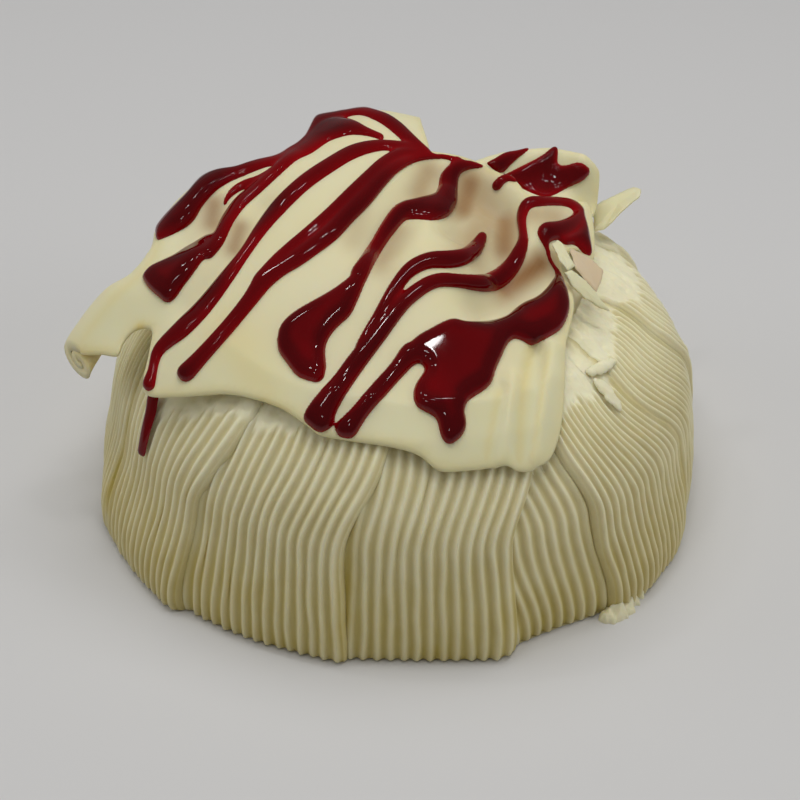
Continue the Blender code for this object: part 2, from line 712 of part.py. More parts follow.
def make_trough(ruffle, chocolate):
    """The curled sheet on the right, with a pool of sauce in its hollow."""
    crest = [(x, y + TROUGH_CREST_GAP) for x, y in crest_line(ruffle)]
    rim_line = smooth_line(TROUGH_RIM, 4.0)
    crest_x, crest_y, crest_z = zip(*[(x, y, ruffle.height(x, y)) for x, y in crest_line(ruffle)])

    def bare(x, y):
        away, place = distance_to(rim_line, x, y)
        index = min(int(place), len(rim_line) - 2)
        rise = rim_line[index][2] + (rim_line[index + 1][2] - rim_line[index][2]) * (place - index)
        rim = rise * math.exp(-((away / TROUGH_RIM_WIDTH) ** 2))
        tip = math.hypot(x - TROUGH_TIP[0], y - TROUGH_TIP[1]) / TROUGH_TIP_RADIUS
        back = TROUGH_FALL * max(y - TROUGH_BACK_SLOPE * x - TROUGH_BACK_START, 0.0) ** 2
        droop = TROUGH_DROOP * max(x - TROUGH_DROOP_START, 0.0)
        free = TROUGH_LEVEL - droop + rim + TROUGH_TIP[2] * math.exp(-tip * tip) - back
        behind = y - float(np.interp(x, crest_x, crest_y))
        front = min(free, float(np.interp(x, crest_x, crest_z)) - TROUGH_UNDER_CREST)
        free = front + (free - front) * blend(0.0, TROUGH_RISE_RUN, behind)
        rest = coat_height(x, y) + REST_GAP + SHEET_THICKNESS
        return max(ease_up(free, rest), rest)

    def top(x, y):
        inside_pool = max(half - math.hypot(x - px, y - py) for px, py, half in smooth_line(POOL, 4.0))
        share = min(max(inside_pool, 0.0) / SAUCE_ROUNDING, 1.0)
        return bare(x, y) + SAUCE_HEIGHT * math.sqrt(1.0 - (1.0 - share) ** 2)

    corners = [*crest, *TROUGH_EDGE]
    closed = [tuple(p) for p in smooth_line([*corners, corners[0]], 6.0)]
    lines = strand_edges(smooth_line(POOL, 6.0))
    return draped_solid("trough_sheet", closed[:-1], lines, top, lipped(bare, closed), 7.0, chocolate)


def make_roll(ruffle, closed, finish):
    """The roll under the sheet's left edge, a strip that starts inside it."""
    points = []
    line = smooth_line(ROLL, 5.0)
    for index, (x, y, radius, turns) in enumerate(line):
        ahead, behind = line[min(index + 1, len(line) - 1)], line[max(index - 1, 0)]
        run = Vector((ahead[0] - behind[0], ahead[1] - behind[1], 0.0)).normalized()
        away = Vector((-run.y, run.x, 0.0))
        if inside(closed, x + away.x * radius, y + away.y * radius):
            away = -away
        edge = Vector((x, y, ruffle.height(x, y) - ROLL_INSET))
        within = ruffle.height(x - 4.0 * away.x, y - 4.0 * away.y) - ROLL_INSET
        fall = math.atan2(within - edge.z, 4.0)
        up = Vector((0.0, 0.0, 1.0))
        outer = radius
        middle = edge - (away * math.sin(fall) + up * math.cos(fall)) * outer
        for inset in (0.0, ROLL_THICKNESS):
            for step in range(ROLL_STEPS):
                share = (step if inset == 0.0 else ROLL_STEPS - 1 - step) / (ROLL_STEPS - 1)
                turn = fall + math.radians(share * (turns + ROLL_LEAD) - ROLL_LEAD)
                reach = outer * (1.0 - ROLL_TIGHTENING * share * share) - inset
                points.append(middle + (away * math.sin(turn) + up * math.cos(turn)) * reach)
    return lofted("roll", points, 2 * ROLL_STEPS, finish)


def make_shards(chocolate):
    """The loose shards, each a flat piece through its corners."""
    for name, corners in SHARDS.items():
        spots = []
        for px, py, height in corners:
            spots.append(sight(px, py, lambda x, y, level=height: level))
        across = spots[1] - spots[0]
        normal = across.cross(spots[-1] - spots[0]).normalized()
        if normal.dot(EYE - spots[0]) < 0.0:
            normal = -normal
        count = len(spots)
        points = [*spots, *[spot - normal * SHARD_THICKNESS for spot in spots]]
        faces = [(0, i, i + 1) for i in range(1, count - 1)]
        faces += [(count, count + i + 1, count + i) for i in range(1, count - 1)]
        faces += [(i, count + i, count + (i + 1) % count, (i + 1) % count) for i in range(count)]
        mesh_object(name, points, faces, chocolate)


def main():
    """Builds every piece of the cake."""
    clear_scene()
    make_cake(CREAM)
    ruffle = Ruffle()
    make_sheet(ruffle, CHOCOLATE)
    make_back_sheet(CHOCOLATE)
    make_trough(ruffle, CHOCOLATE)
    make_shards(CHOCOLATE)


main()
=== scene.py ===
"""Looks of a white chocolate raspberry cheesecake, whole and uncut.

The cake is coated in ribbed bands of piped cream. A ruffled sheet of white
chocolate is draped over it, with a second sheet behind, a curled one on the
right, shards, and a thick raspberry drizzle.

Lengths are in millimetres until mesh_piece() turns them into metres. The
origin is the middle of the base, +Z is up and +Y points away from the side
that the reference view sees. Where a piece was placed in that view its
points are pixels of the 800 x 800 view, and ReferenceView.sight() carries
them to the surface that holds the piece.
"""

import logging
import math
from dataclasses import dataclass, field
from enum import Enum
from typing import Callable, Dict, List, Sequence, Tuple

import bmesh
import bpy
import numpy as np
from mathutils import Euler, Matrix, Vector
from mathutils.geometry import delaunay_2d_cdt


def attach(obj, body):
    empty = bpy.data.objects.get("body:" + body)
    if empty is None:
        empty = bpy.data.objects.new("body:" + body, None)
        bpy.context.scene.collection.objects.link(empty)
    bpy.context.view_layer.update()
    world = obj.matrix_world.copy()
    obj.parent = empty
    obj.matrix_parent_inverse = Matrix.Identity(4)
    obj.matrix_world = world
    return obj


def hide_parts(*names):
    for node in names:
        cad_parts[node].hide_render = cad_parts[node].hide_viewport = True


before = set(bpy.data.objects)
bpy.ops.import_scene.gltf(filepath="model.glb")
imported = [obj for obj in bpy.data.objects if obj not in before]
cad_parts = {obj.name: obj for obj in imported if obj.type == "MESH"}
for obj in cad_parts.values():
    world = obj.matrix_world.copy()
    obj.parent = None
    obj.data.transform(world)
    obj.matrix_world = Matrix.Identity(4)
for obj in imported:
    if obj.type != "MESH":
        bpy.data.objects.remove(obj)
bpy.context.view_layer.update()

Array = np.ndarray
Height = Callable[[Array, Array], Array]
Pixels = Sequence[Tuple[float, ...]]

log = logging.getLogger("cheesecake")


# Small tools

def blend(low: float, high: float, value: Array) -> Array:
    """A smooth step.

    Args:
        low: value at which the step starts, at 0.
        high: value at which it ends, at 1.
        value: numbers to look up.

    Returns:
        The step at each value.
    """
    share = np.clip((np.asarray(value, float) - low) / (high - low), 0.0, 1.0)
    return share * share * (3.0 - 2.0 * share)


def linear(code: str) -> Tuple[float, float, float, float]:
    """Turns an sRGB hex colour into Blender's linear colour.

    Args:
        code: the colour, such as "#e6dfc4".

    Returns:
        Red, green, blue and an alpha of 1.
    """
    parts = [int(code[i:i + 2], 16) / 255.0 for i in (1, 3, 5)]
    turned = [c / 12.92 if c <= 0.04045 else ((c + 0.055) / 1.055) ** 2.4 for c in parts]
    return (*turned, 1.0)


def wander(x: Array, y: Array, run: float, seed: int) -> Array:
    """A smooth irregular ripple over the plane.

    Args:
        x: first coordinates.
        y: second coordinates.
        run: typical distance from hump to hump, mm.
        seed: picks the pattern.

    Returns:
        The ripple, mostly between -1 and 1.
    """
    draw = np.random.RandomState(seed)
    total = np.zeros(np.broadcast(x, y).shape)
    for _ in range(7):
        angle = draw.uniform(0.0, 2.0 * math.pi)
        pace = 2.0 * math.pi / (run * draw.uniform(0.6, 1.7))
        phase = draw.uniform(0.0, 2.0 * math.pi)
        total += np.sin((x * math.cos(angle) + y * math.sin(angle)) * pace + phase)
    return total / 3.0


def smooth_line(points: Sequence, spacing: float) -> Array:
    """Lays points along a Catmull-Rom curve.

    Args:
        points: points that the curve goes through.
        spacing: distance from point to point, measured in the first two
            coordinates.

    Returns:
        The points, one a row.
    """
    given = [np.array(p, float) for p in points]
    ends = [2 * given[0] - given[1], *given, 2 * given[-1] - given[-2]]
    line = [given[0]]
    for a, b, c, d in zip(ends, ends[1:], ends[2:], ends[3:]):
        steps = max(1, round(float(np.linalg.norm((c - b)[:2])) / spacing))
        for step in range(1, steps + 1):
            t = step / steps
            line.append(0.5 * (2 * b + (c - a) * t + (2 * a - 5 * b + 4 * c - d) * t ** 2
                               + (3 * b - a - 3 * c + d) * t ** 3))
    return np.array(line)


def unit(vectors: Array, least: float = 0.0) -> Array:
    """Vectors along the last axis, brought to a length of 1."""
    return vectors / np.maximum(np.linalg.norm(vectors, axis=-1), least)[..., None]


def ripples(x: Array, y: Array, waves: Sequence) -> Array:
    """A sum of wander() patterns, each given by its height, run and seed."""
    return sum(size * wander(x, y, run, seed) for size, run, seed in waves)


def stretch_distance(start: Sequence, end: Sequence, x: Array, y: Array) -> Tuple[Array, Array]:
    """Where on a straight stretch places are nearest.

    Args:
        start: the stretch's start.
        end: its end.
        x: first coordinates of the places.
        y: their second coordinates.

    Returns:
        The share along the stretch and the distance to it.
    """
    (ax, ay), (bx, by) = start[:2], end[:2]
    run = max((bx - ax) ** 2 + (by - ay) ** 2, 1e-9)
    along = np.clip(((x - ax) * (bx - ax) + (y - ay) * (by - ay)) / run, 0.0, 1.0)
    return along, np.hypot(x - ax - along * (bx - ax), y - ay - along * (by - ay))


def line_distance(line: Array, x: Array, y: Array) -> Tuple[Array, Array]:
    """Finds the nearest place on a line.

    Args:
        line: points of the line, one a row.
        x: first coordinates of the places to look from.
        y: their second coordinates.

    Returns:
        The distance to the line and where along it, in points.
    """
    best = np.full(np.shape(x), 1e9)
    place = np.zeros(np.shape(x))
    for index in range(len(line) - 1):
        along, away = stretch_distance(line[index], line[index + 1], x, y)
        nearer = away < best
        best = np.where(nearer, away, best)
        place = np.where(nearer, index + along, place)
    return best, place


def outline_distance(outline: Array, x: Array, y: Array) -> Array:
    """Distance to a closed outline."""
    away, _ = line_distance(np.concatenate([outline, outline[:1]]), x, y)
    return away


def within(outline: Array, x: Array, y: Array) -> Array:
    """Tests points against a closed outline.

    Args:
        outline: corners, one a row.
        x: first coordinates of the points.
        y: their second coordinates.

    Returns:
        True where a point is inside.
    """
    crossings = np.zeros(np.shape(x), int)
    for (ax, ay), (bx, by) in zip(outline[:, :2], np.roll(outline[:, :2], -1, axis=0)):
        if ay == by:
            continue
        spans = (ay > y) != (by > y)
        crossings += spans & (ax + (y - ay) * (bx - ax) / (by - ay) > x)
    return crossings % 2 == 1


def ring_reach(corners: Pixels, x: Array, y: Array) -> Array:
    """How far inside a closed curve places are.

    Args:
        corners: points that the curve goes through.
        x: first coordinates of the places.
        y: their second coordinates.

    Returns:
        The distance to the curve, below 0 outside.
    """
    ring = smooth_line([*corners, corners[0]], 4.0)
    away, _ = line_distance(ring, x, y)
    return np.where(within(ring, x, y), away, -away)


def merge(first: Array, second: Array, join: float) -> Tuple[Array, Array]:
    """Runs two reaches together into one.

    Args:
        first: distance inside the first form.
        second: distance inside the second.
        join: distance over which they run together.

    Returns:
        The reach of both and the second's share in it.
    """
    near = np.clip(0.5 + 0.5 * (second - first) / join, 0.0, 1.0)
    return first + (second - first) * near + join * near * (1.0 - near), near


def rounded(share: Array) -> Array:
    """A quarter circle: 0 at 0 with an upright start, 1 from 1 on."""
    return np.sqrt(1.0 - (1.0 - np.clip(share, 0.0, 1.0)) ** 2)


def mesh_piece(name: str, points: Array, faces: Sequence, finish: "Finish", slot: str,
               **values: Array) -> bpy.types.Object:
    """Makes a piece of the scene that rides on the cake.

    Args:
        name: name of the piece.
        points: corners in mm, one a row.
        faces: corner numbers of each face.
        finish: what the piece is made of.
        slot: the record's material slot; it is not used.
        values: a number for each corner, kept under the argument's name.

    Returns:
        The object.
    """
    data = bpy.data.meshes.new(name)
    data.from_pydata((np.asarray(points) * 0.001).tolist(), [], [tuple(f) for f in faces])
    for key, numbers in values.items():
        kept = data.attributes.new(key, "FLOAT", "POINT")
        kept.data.foreach_set("value", np.asarray(numbers, np.float32))
    data.validate()
    shape = bmesh.new()
    shape.from_mesh(data)
    bmesh.ops.recalc_face_normals(shape, faces=shape.faces)
    shape.to_mesh(data)
    shape.free()
    data.shade_smooth()
    data.materials.append(finish.material())
    piece = bpy.data.objects.new(name, data)
    bpy.context.scene.collection.objects.link(piece)
    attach(piece, "root")
    log.info("%s: %d faces", name, len(data.polygons))
    return piece


def grid_faces(rows: int, columns: int) -> Array:
    """Quads over points that lie row by row."""
    first = (np.arange(rows - 1)[:, None] * columns + np.arange(columns - 1)[None, :]).ravel()
    return np.stack([first, first + 1, first + columns + 1, first + columns], axis=1)


def cap_faces(rings: int, count: int, first: int = 0) -> List:
    """Faces over closed rings of points that end in a single point.

    Args:
        rings: number of rings.
        count: number of points in each.
        first: number of the first point.

    Returns:
        The faces; the single point follows the last ring.
    """
    faces = []
    for ring in range(rings - 1):
        for step in range(count):
            a, b = first + ring * count + step, first + ring * count + (step + 1) % count
            faces.append((a, b, b + count, a + count))
    last, tip = first + (rings - 1) * count, first + rings * count
    return faces + [(last + s, last + (s + 1) % count, tip) for s in range(count)]


def surface_grid(surface: Height, xs: Array, ys: Array, spacing: float) -> Tuple[Array, Array]:
    """Points of a height surface over a grid.

    Args:
        surface: height over the plan.
        xs: first coordinates of the grid.
        ys: second coordinates.
        spacing: distance from point to point.

    Returns:
        The points and the surface's normals.
    """
    z = surface(xs, ys)
    slope_y, slope_x = np.gradient(z, spacing)
    normal = np.stack([-slope_x, -slope_y, np.ones_like(z)], axis=-1)
    return np.stack([xs, ys, z], axis=-1), unit(normal)


# Finishes

def add_node(tree: bpy.types.NodeTree, kind: str, settings: Dict, links: Dict) -> bpy.types.Node:
    """Adds a node to a material.

    Args:
        tree: the material's node tree.
        kind: the node's type.
        settings: values by socket name or number, or by the node's property.
        links: output sockets by the name or number of the input they feed.

    Returns:
        The node.
    """
    node = tree.nodes.new(kind)
    for key, value in settings.items():
        if isinstance(key, int) or key in node.inputs:
            node.inputs[key].default_value = value
        else:
            setattr(node, key, value)
    for key, socket in links.items():
        tree.links.new(socket, node.inputs[key])
    return node


@dataclass(frozen=True)
class Finish:
    """A material, made once and shared by its pieces."""

    name: str
    surface: Tuple = ()
    bump_height: float = 0.0004

    def build(self, tree: bpy.types.NodeTree, shader: bpy.types.Node) -> None:
        """Dresses the shader; each finish has its own."""
        raise NotImplementedError

    def material(self) -> bpy.types.Material:
        """The material, from the file if it is there already.

        Returns:
            The material.
        """
        made = bpy.data.materials.get(self.name)
        if made is None:
            made = bpy.data.materials.new(self.name)
            made.use_nodes = True
            shader = made.node_tree.nodes["Principled BSDF"]
            self.build(made.node_tree, shader)
            for key, value in self.surface:
                shader.inputs[key].default_value = value
        return made


@dataclass(frozen=True)
class WhippedCream(Finish):
    """Whipped cream, piped through a toothed nozzle.

    It is matt and lets light in a little way. Grooves and the valleys between
    bands are painted dark yellow as painted shade, and the coat is painted
    darker and yellower towards the foot as painted shade and painted yellow
    bounce light, while ridges stay pale. Its bubbles are drawn coarser than
    real ones, which are too fine to show.
    """

    ridge: str = "#f4eecb"
    groove_shade: str = "#b49e33"
    bubble_mm: float = 0.9
    cloud_mm: float = 14.0
    mottle: float = 0.30
    surface: Tuple = (
        ("Roughness", 0.52), ("IOR", 1.40), ("Subsurface Weight", 0.30),
        ("Subsurface Radius", (1.0, 0.75, 0.35)), ("Subsurface Scale", 0.0030),
    )

    def build(self, tree: bpy.types.NodeTree, shader: bpy.types.Node) -> None:
        """Pale ridges, grooves in painted shade, and fine bubbles.

        Args:
            tree: the material's node tree.
            shader: its shader.
        """
        place = add_node(tree, "ShaderNodeTexCoord", {}, {}).outputs["Object"]
        # The deep attribute is painted shade: it mixes the dark groove colour into grooves, band valleys
        # and the lower coat.
        deep = add_node(tree, "ShaderNodeAttribute", {"attribute_name": "deep"}, {}).outputs["Fac"]
        cloud = add_node(tree, "ShaderNodeTexNoise", {"Scale": 1000.0 / self.cloud_mm, "Detail": 3.0},
                         {"Vector": place}).outputs["Fac"]
        patch = add_node(tree, "ShaderNodeMath",
                         {"operation": "MULTIPLY_ADD", 1: self.mottle, 2: -0.5 * self.mottle},
                         {0: cloud}).outputs[0]
        share = add_node(tree, "ShaderNodeMath", {"operation": "ADD", "use_clamp": True},
                         {0: deep, 1: patch}).outputs[0]
        colour = add_node(tree, "ShaderNodeMix",
                          {"data_type": "RGBA", 6: linear(self.ridge), 7: linear(self.groove_shade)},
                          {0: share}).outputs[2]
        tree.links.new(colour, shader.inputs["Base Color"])
        bubbles = add_node(tree, "ShaderNodeTexNoise",
                           {"Scale": 1000.0 / self.bubble_mm, "Detail": 2.0, "Roughness": 0.6},
                           {"Vector": place}).outputs["Fac"]
        bump = add_node(tree, "ShaderNodeBump", {"Strength": 0.35, "Distance": self.bump_height},
                        {"Height": bubbles}).outputs["Normal"]
        tree.links.new(bump, shader.inputs["Normal"])


@dataclass(frozen=True)
class WhiteChocolate(Finish):
    """White chocolate, spread thin and set: smooth, waxy and faintly see-through.

    Folds are painted pinkish brown as painted shade. Thin places and edges are
    painted yellow as painted light shining through, and creases get the same
    yellow as painted shade.
    """

    face: str = "#eae4c0"
    second: str = "#e8deae"
    # Painted shade: the next colour is the pinkish brown painted into folds.
    fold_shade_colour: str = "#9a6c3e"
    # Painted light and shade: the next colour is the yellow painted where light shines through thin
    # chocolate, and into creases as shade.
    thin: str = "#e6cf80"
    # A pink tint, laid over a whole piece.
    stain: str = "#b5546a"
    cloud_mm: float = 30.0
    grain_mm: float = 6.0
    surface: Tuple = (
        ("Roughness", 0.38), ("IOR", 1.45), ("Subsurface Weight", 0.35),
        ("Subsurface Radius", (1.0, 0.7, 0.35)), ("Subsurface Scale", 0.0035),
    )

    def build(self, tree: bpy.types.NodeTree, shader: bpy.types.Node) -> None:
        """Ivory, with painted shade in folds, painted yellow light and shade in thin places and creases,
        and a pink tint.

        Args:
            tree: the material's node tree.
            shader: its shader.
        """
        place = add_node(tree, "ShaderNodeTexCoord", {}, {}).outputs["Object"]
        cloud = add_node(tree, "ShaderNodeTexNoise", {"Scale": 1000.0 / self.cloud_mm, "Detail": 2.0},
                         {"Vector": place}).outputs["Fac"]
        base = add_node(tree, "ShaderNodeMix",
                        {"data_type": "RGBA", 6: linear(self.face), 7: linear(self.second)},
                        {0: cloud}).outputs[2]
        # Painted marks: shade in folds, then light through thin places with shade in creases, then a
        # pink tint.
        for key, code in (("warm", self.fold_shade_colour), ("clear", self.thin), ("stained", self.stain)):
            share = add_node(tree, "ShaderNodeAttribute", {"attribute_name": key}, {}).outputs["Fac"]
            base = add_node(tree, "ShaderNodeMix", {"data_type": "RGBA", 7: linear(code)},
                            {0: share, 6: base}).outputs[2]
        tree.links.new(base, shader.inputs["Base Color"])
        grain = add_node(tree, "ShaderNodeTexNoise", {"Scale": 1000.0 / self.grain_mm, "Detail": 2.0},
                         {"Vector": place}).outputs["Fac"]
        bump = add_node(tree, "ShaderNodeBump", {"Strength": 0.10, "Distance": self.bump_height},
                        {"Height": grain}).outputs["Normal"]
        tree.links.new(bump, shader.inputs["Normal"])


@dataclass(frozen=True)
class RaspberrySauce(Finish):
    """Sieved raspberry sauce: a wet, glassy red that darkens where it is deep."""

    shallow: str = "#980008"
    deep: str = "#4c0003"
    cloud_mm: float = 22.0
    mottle: float = 0.6
    surface: Tuple = (
        ("Roughness", 0.045), ("IOR", 1.42), ("Specular IOR Level", 0.35),
        ("Subsurface Weight", 0.10), ("Subsurface Radius", (1.0, 0.1, 0.05)),
        ("Subsurface Scale", 0.0015),
    )

    def build(self, tree: bpy.types.NodeTree, shader: bpy.types.Node) -> None:
        """Bright red where thin, near black where thick, all of it wet.

        Args:
            tree: the material's node tree.
            shader: its shader.
        """
        place = add_node(tree, "ShaderNodeTexCoord", {}, {}).outputs["Object"]
        depth = add_node(tree, "ShaderNodeAttribute", {"attribute_name": "depth"}, {}).outputs["Fac"]
        cloud = add_node(tree, "ShaderNodeTexNoise", {"Scale": 1000.0 / self.cloud_mm, "Detail": 1.0},
                         {"Vector": place}).outputs["Fac"]
        patch = add_node(tree, "ShaderNodeMath",
                         {"operation": "MULTIPLY_ADD", 1: self.mottle, 2: -0.5 * self.mottle},
                         {0: cloud}).outputs[0]
        share = add_node(tree, "ShaderNodeMath", {"operation": "ADD", "use_clamp": True},
                         {0: depth, 1: patch}).outputs[0]
        colour = add_node(tree, "ShaderNodeMix",
                          {"data_type": "RGBA", 6: linear(self.shallow), 7: linear(self.deep)},
                          {0: share}).outputs[2]
        tree.links.new(colour, shader.inputs["Base Color"])


@dataclass(frozen=True)
class StudioPaper(Finish):
    """Pale grey paper that the cake stands on."""

    shade: str = "#d3d2d1"
    surface: Tuple = (("Roughness", 0.9),)

    def build(self, tree: bpy.types.NodeTree, shader: bpy.types.Node) -> None:
        """Plain and matt."""
        shader.inputs["Base Color"].default_value = linear(self.shade)


CREAM = WhippedCream("piped_whipped_cream")
CHOCOLATE = WhiteChocolate("set_white_chocolate")
SAUCE = RaspberrySauce("raspberry_sauce")
PAPER = StudioPaper("studio_paper")


# The reference view

@dataclass(frozen=True)
class ReferenceView:
    """The camera that the reference view was taken with."""

    eye: Tuple[float, float, float] = (-4.5, -504.4, 381.9)
    turn: Tuple[float, float, float] = (54.91, -1.243, 0.394)
    focal: float = 1732.6
    pixels_per_mm: float = 2.77
    centre: float = 400.0
    opening: float = 26.0
    nearest: float = 420.0
    furthest: float = 760.0

    def rotation(self) -> Array:
        """The camera's axes as columns."""
        return np.array(Euler([math.radians(a) for a in self.turn]).to_matrix())

    def project(self, points: Array) -> Array:
        """Pixels of points.

        Args:
            points: points in mm, one a row.

        Returns:
            Their pixels, one a row.
        """
        seen = (np.asarray(points) - np.array(self.eye)) @ self.rotation()
        scale = self.focal / -seen[:, 2]
        return np.stack([self.centre + seen[:, 0] * scale, self.centre - seen[:, 1] * scale], axis=1)

    def sight(self, pixels: Pixels, surface: Height) -> Array:
        """Where lines of sight first meet a height surface.

        Args:
            pixels: pixels to look through; further numbers are left out.
            surface: height of the surface over the plan.

        Returns:
            The points in mm, one a row.
        """
        spots = np.array([p[:2] for p in pixels], float)
        across = (spots - self.centre) / self.focal
        rays = np.stack([across[:, 0], -across[:, 1], -np.ones(len(spots))], axis=1)
        rays = unit(rays) @ self.rotation().T
        eye = np.array(self.eye)

        def above(reach: Array) -> Array:
            """How far above the surface the rays are at a distance."""
            points = eye + rays[:, None, :] * reach[..., None]
            return points[..., 2] - surface(points[..., 0], points[..., 1])

        reaches = np.arange(self.nearest, self.furthest, 1.0)
        gaps = above(np.broadcast_to(reaches, (len(spots), len(reaches))))
        hit = gaps <= 0.0
        index = np.where(hit.any(axis=1), hit.argmax(axis=1), gaps.argmin(axis=1))
        high = reaches[index]
        low = np.where(hit.any(axis=1), high - 1.0, high)
        for _ in range(14):
            middle = 0.5 * (low + high)
            over = above(middle[:, None])[:, 0] > 0.0
            low, high = np.where(over, middle, low), np.where(over, high, middle)
        return eye + rays * high[:, None]

    def add_camera(self) -> None:
        """Puts the camera into the scene."""
        data = bpy.data.cameras.new("reference_view")
        data.sensor_width = 36.0
        data.angle = math.radians(self.opening)
        camera = bpy.data.objects.new("reference_view", data)
        camera.location = Vector(self.eye) * 0.001
        camera.rotation_euler = Euler([math.radians(a) for a in self.turn])
        bpy.context.scene.collection.objects.link(camera)
        bpy.context.scene.camera = camera


VIEW = ReferenceView()


# The coat of cream

class Raised(Enum):
    """Which edge of a piped band lies over its neighbour."""

    START = "start"
    END = "end"
    NEITHER = "neither"


@dataclass(frozen=True)
class CoatForm:
    """The coat's form: its profile, its foot and the seams of its bands."""

    foot_radius: float = 101.2
    top: float = 89.0
    profile: Tuple = (
        (100.5, 0.0), (102.0, 3.0), (102.6, 20.0), (101.2, 38.0), (97.6, 50.0),
        (92.0, 60.0), (85.3, 68.0), (76.5, 75.5), (64.0, 81.5), (40.0, 87.0),
    )
    foot: Tuple = (
        (202.4, 108.6), (210.0, 107.7), (222.5, 107.8), (227.3, 108.2), (231.0, 107.1),
        (241.6, 105.9), (250.0, 104.9), (257.0, 104.7), (262.0, 105.1), (270.0, 103.8),
        (276.0, 103.8), (282.0, 104.9), (288.0, 106.3), (291.0, 104.3), (297.0, 102.8),
        (301.5, 102.8), (309.2, 104.7), (318.8, 106.3), (326.0, 105.6), (333.7, 106.0),
        (337.5, 105.4), (341.0, 102.8), (352.0, 103.4), (365.0, 103.8), (378.0, 102.8),
        (391.0, 104.0), (404.0, 102.8), (417.0, 103.8), (430.0, 102.8), (443.0, 104.4),
        (456.0, 103.0), (469.0, 103.8), (482.0, 103.0), (495.0, 104.4), (507.0, 103.0),
        (519.0, 103.2), (531.0, 102.4), (542.0, 102.4), (552.0, 103.6), (558.0, 106.6),
    )
    seams: Tuple = (
        (204.8, 203.0, 198.0), (229.4, 230.5, 236.5), (260.9, 259.6, 266.8), (290.6, 289.6, 298.0),
        (311.5, 307.5, 302.5), (339.8, 338.0, 327.0), (365.0, 362.0, 352.0), (391.0, 389.0, 382.0),
        (417.0, 418.0, 414.0), (443.0, 441.0, 436.0), (469.0, 470.0, 466.0), (495.0, 493.0, 490.0),
        (519.0, 518.0, 514.0), (542.0, 539.0, 534.0),
    )
    own_starts: Tuple = (
        (1, (229.4, 230.0, 231.0)), (2, (260.9, 260.8, 263.0)), (3, (290.6, 284.6, 280.6)),
    )
    lowest: int = 3
    pitches: Tuple = (3.05, 3.8, 4.1, 3.9, 3.2, 3.1, 3.3, 3.5, 3.6, 3.5, 3.6, 3.5, 3.4, 3.1)
    rib_depth: float = 1.3
    lap: float = 3.0
    laps: Tuple = (3.0, 3.0, 2.2, 0.0, 2.6, 0.5, 2.2, 2.0, 2.6, 2.2, 2.6, 2.0, 2.4, 1.6)
    tuck: float = 0.6
    sunk: float = 1.5
    rib_stops: Tuple = (
        (30.0, 78.0), (45.0, 70.0), (190.0, 70.0), (204.0, 79.0), (212.0, 94.5), (216.0, 94.2),
        (222.0, 90.6), (228.0, 87.0), (235.0, 86.3), (245.0, 84.5), (262.0, 83.0), (280.0, 80.0),
        (300.0, 79.0), (307.0, 81.5), (312.0, 81.0), (317.0, 81.5), (323.0, 82.0), (328.0, 79.0),
        (335.0, 75.5), (346.0, 72.0), (352.0, 72.0), (358.0, 79.0), (369.0, 83.0), (379.0, 83.0),
    )
    swell: Tuple[float, float, float] = (3.0, 25.0, 22.0)
    ribs_end: Tuple[float, float] = (64.0, 74.0)
    middle: float = 42.0
    bend: Tuple[float, float] = (40.0, 72.0)
    droop: Tuple[float, float] = (3.0, 350.0)
    flank: Tuple[float, float] = (2.0, 185.0)
    # Heights between which these set in: the foot's outline fades, the slope
    # turns up, and the swell, the flank and the droop come on.
    foot_fades: Tuple[float, float] = (4.0, 40.0)
    slope_turns: Tuple[float, float] = (30.0, 84.0)
    swell_sets_in: Tuple[float, float] = (52.0, 72.0)
    flank_sets_in: Tuple[float, float] = (10.0, 35.0)
    droop_sets_in: Tuple[float, float] = (35.0, 75.0)

    def seam(self, index: int, height: Array, own: bool = False) -> Array:
        """Azimuth of a seam in degrees.

        Args:
            index: number of the band that starts there.
            height: heights above the base.
            own: whether to follow that band's own first rib, which may run
                on under its neighbour.

        Returns:
            The azimuth at each height.
        """
        foot, middle, shoulder = self.seams[index % len(self.seams)]
        if own:
            foot, middle, shoulder = dict(self.own_starts).get(index, (foot, middle, shoulder))
        turns = 360.0 * (index // len(self.seams))
        low = foot + (middle - foot) * blend(0.0, self.middle, height)
        high = (shoulder - middle) * blend(*self.bend, height)
        return turns + low + high

    def point(self, azimuth: Array, radius: Array, height: Array, relief: Array) -> Array:
        """Points of the coat.

        Args:
            azimuth: in degrees.
            radius: the profile's radius.
            height: the profile's height.
            relief: how far the point stands out along the slope.

        Returns:
            The points, along the last axis.
        """
        azimuths, radii = zip(*self.foot)
        foot = np.interp(azimuth % 360.0, azimuths, radii, period=360.0) / self.foot_radius
        reach = 1.0 + (foot - 1.0) * (1.0 - blend(*self.foot_fades, height))
        side = np.maximum(np.cos(np.radians(azimuth - self.droop[1])), 0.0)
        flank = np.maximum(np.cos(np.radians(azimuth - self.flank[1])), 0.0) ** 4
        upward = blend(*self.slope_turns, height) * math.pi / 2
        rise, middle, spread = self.swell
        turned = (azimuth - middle + 180.0) % 360.0 - 180.0
        swell = rise * np.exp(-((turned / spread) ** 2)) * blend(*self.swell_sets_in, height)
        relief = relief + swell
        inward = self.flank[0] * flank * blend(*self.flank_sets_in, height)
        down = self.droop[0] * side * blend(*self.droop_sets_in, height)
        out = radius * reach - inward + relief * np.cos(upward)
        up = height - down + relief * np.sin(upward)
        angle = np.radians(azimuth)
        return np.stack([out * np.cos(angle), out * np.sin(angle), up + 0.0 * out], axis=-1)

    def rib_fade(self, radius: Array) -> Array:
        """1 where the ribs are full and 0 towards the middle of the top."""
        return blend(*self.ribs_end, radius)

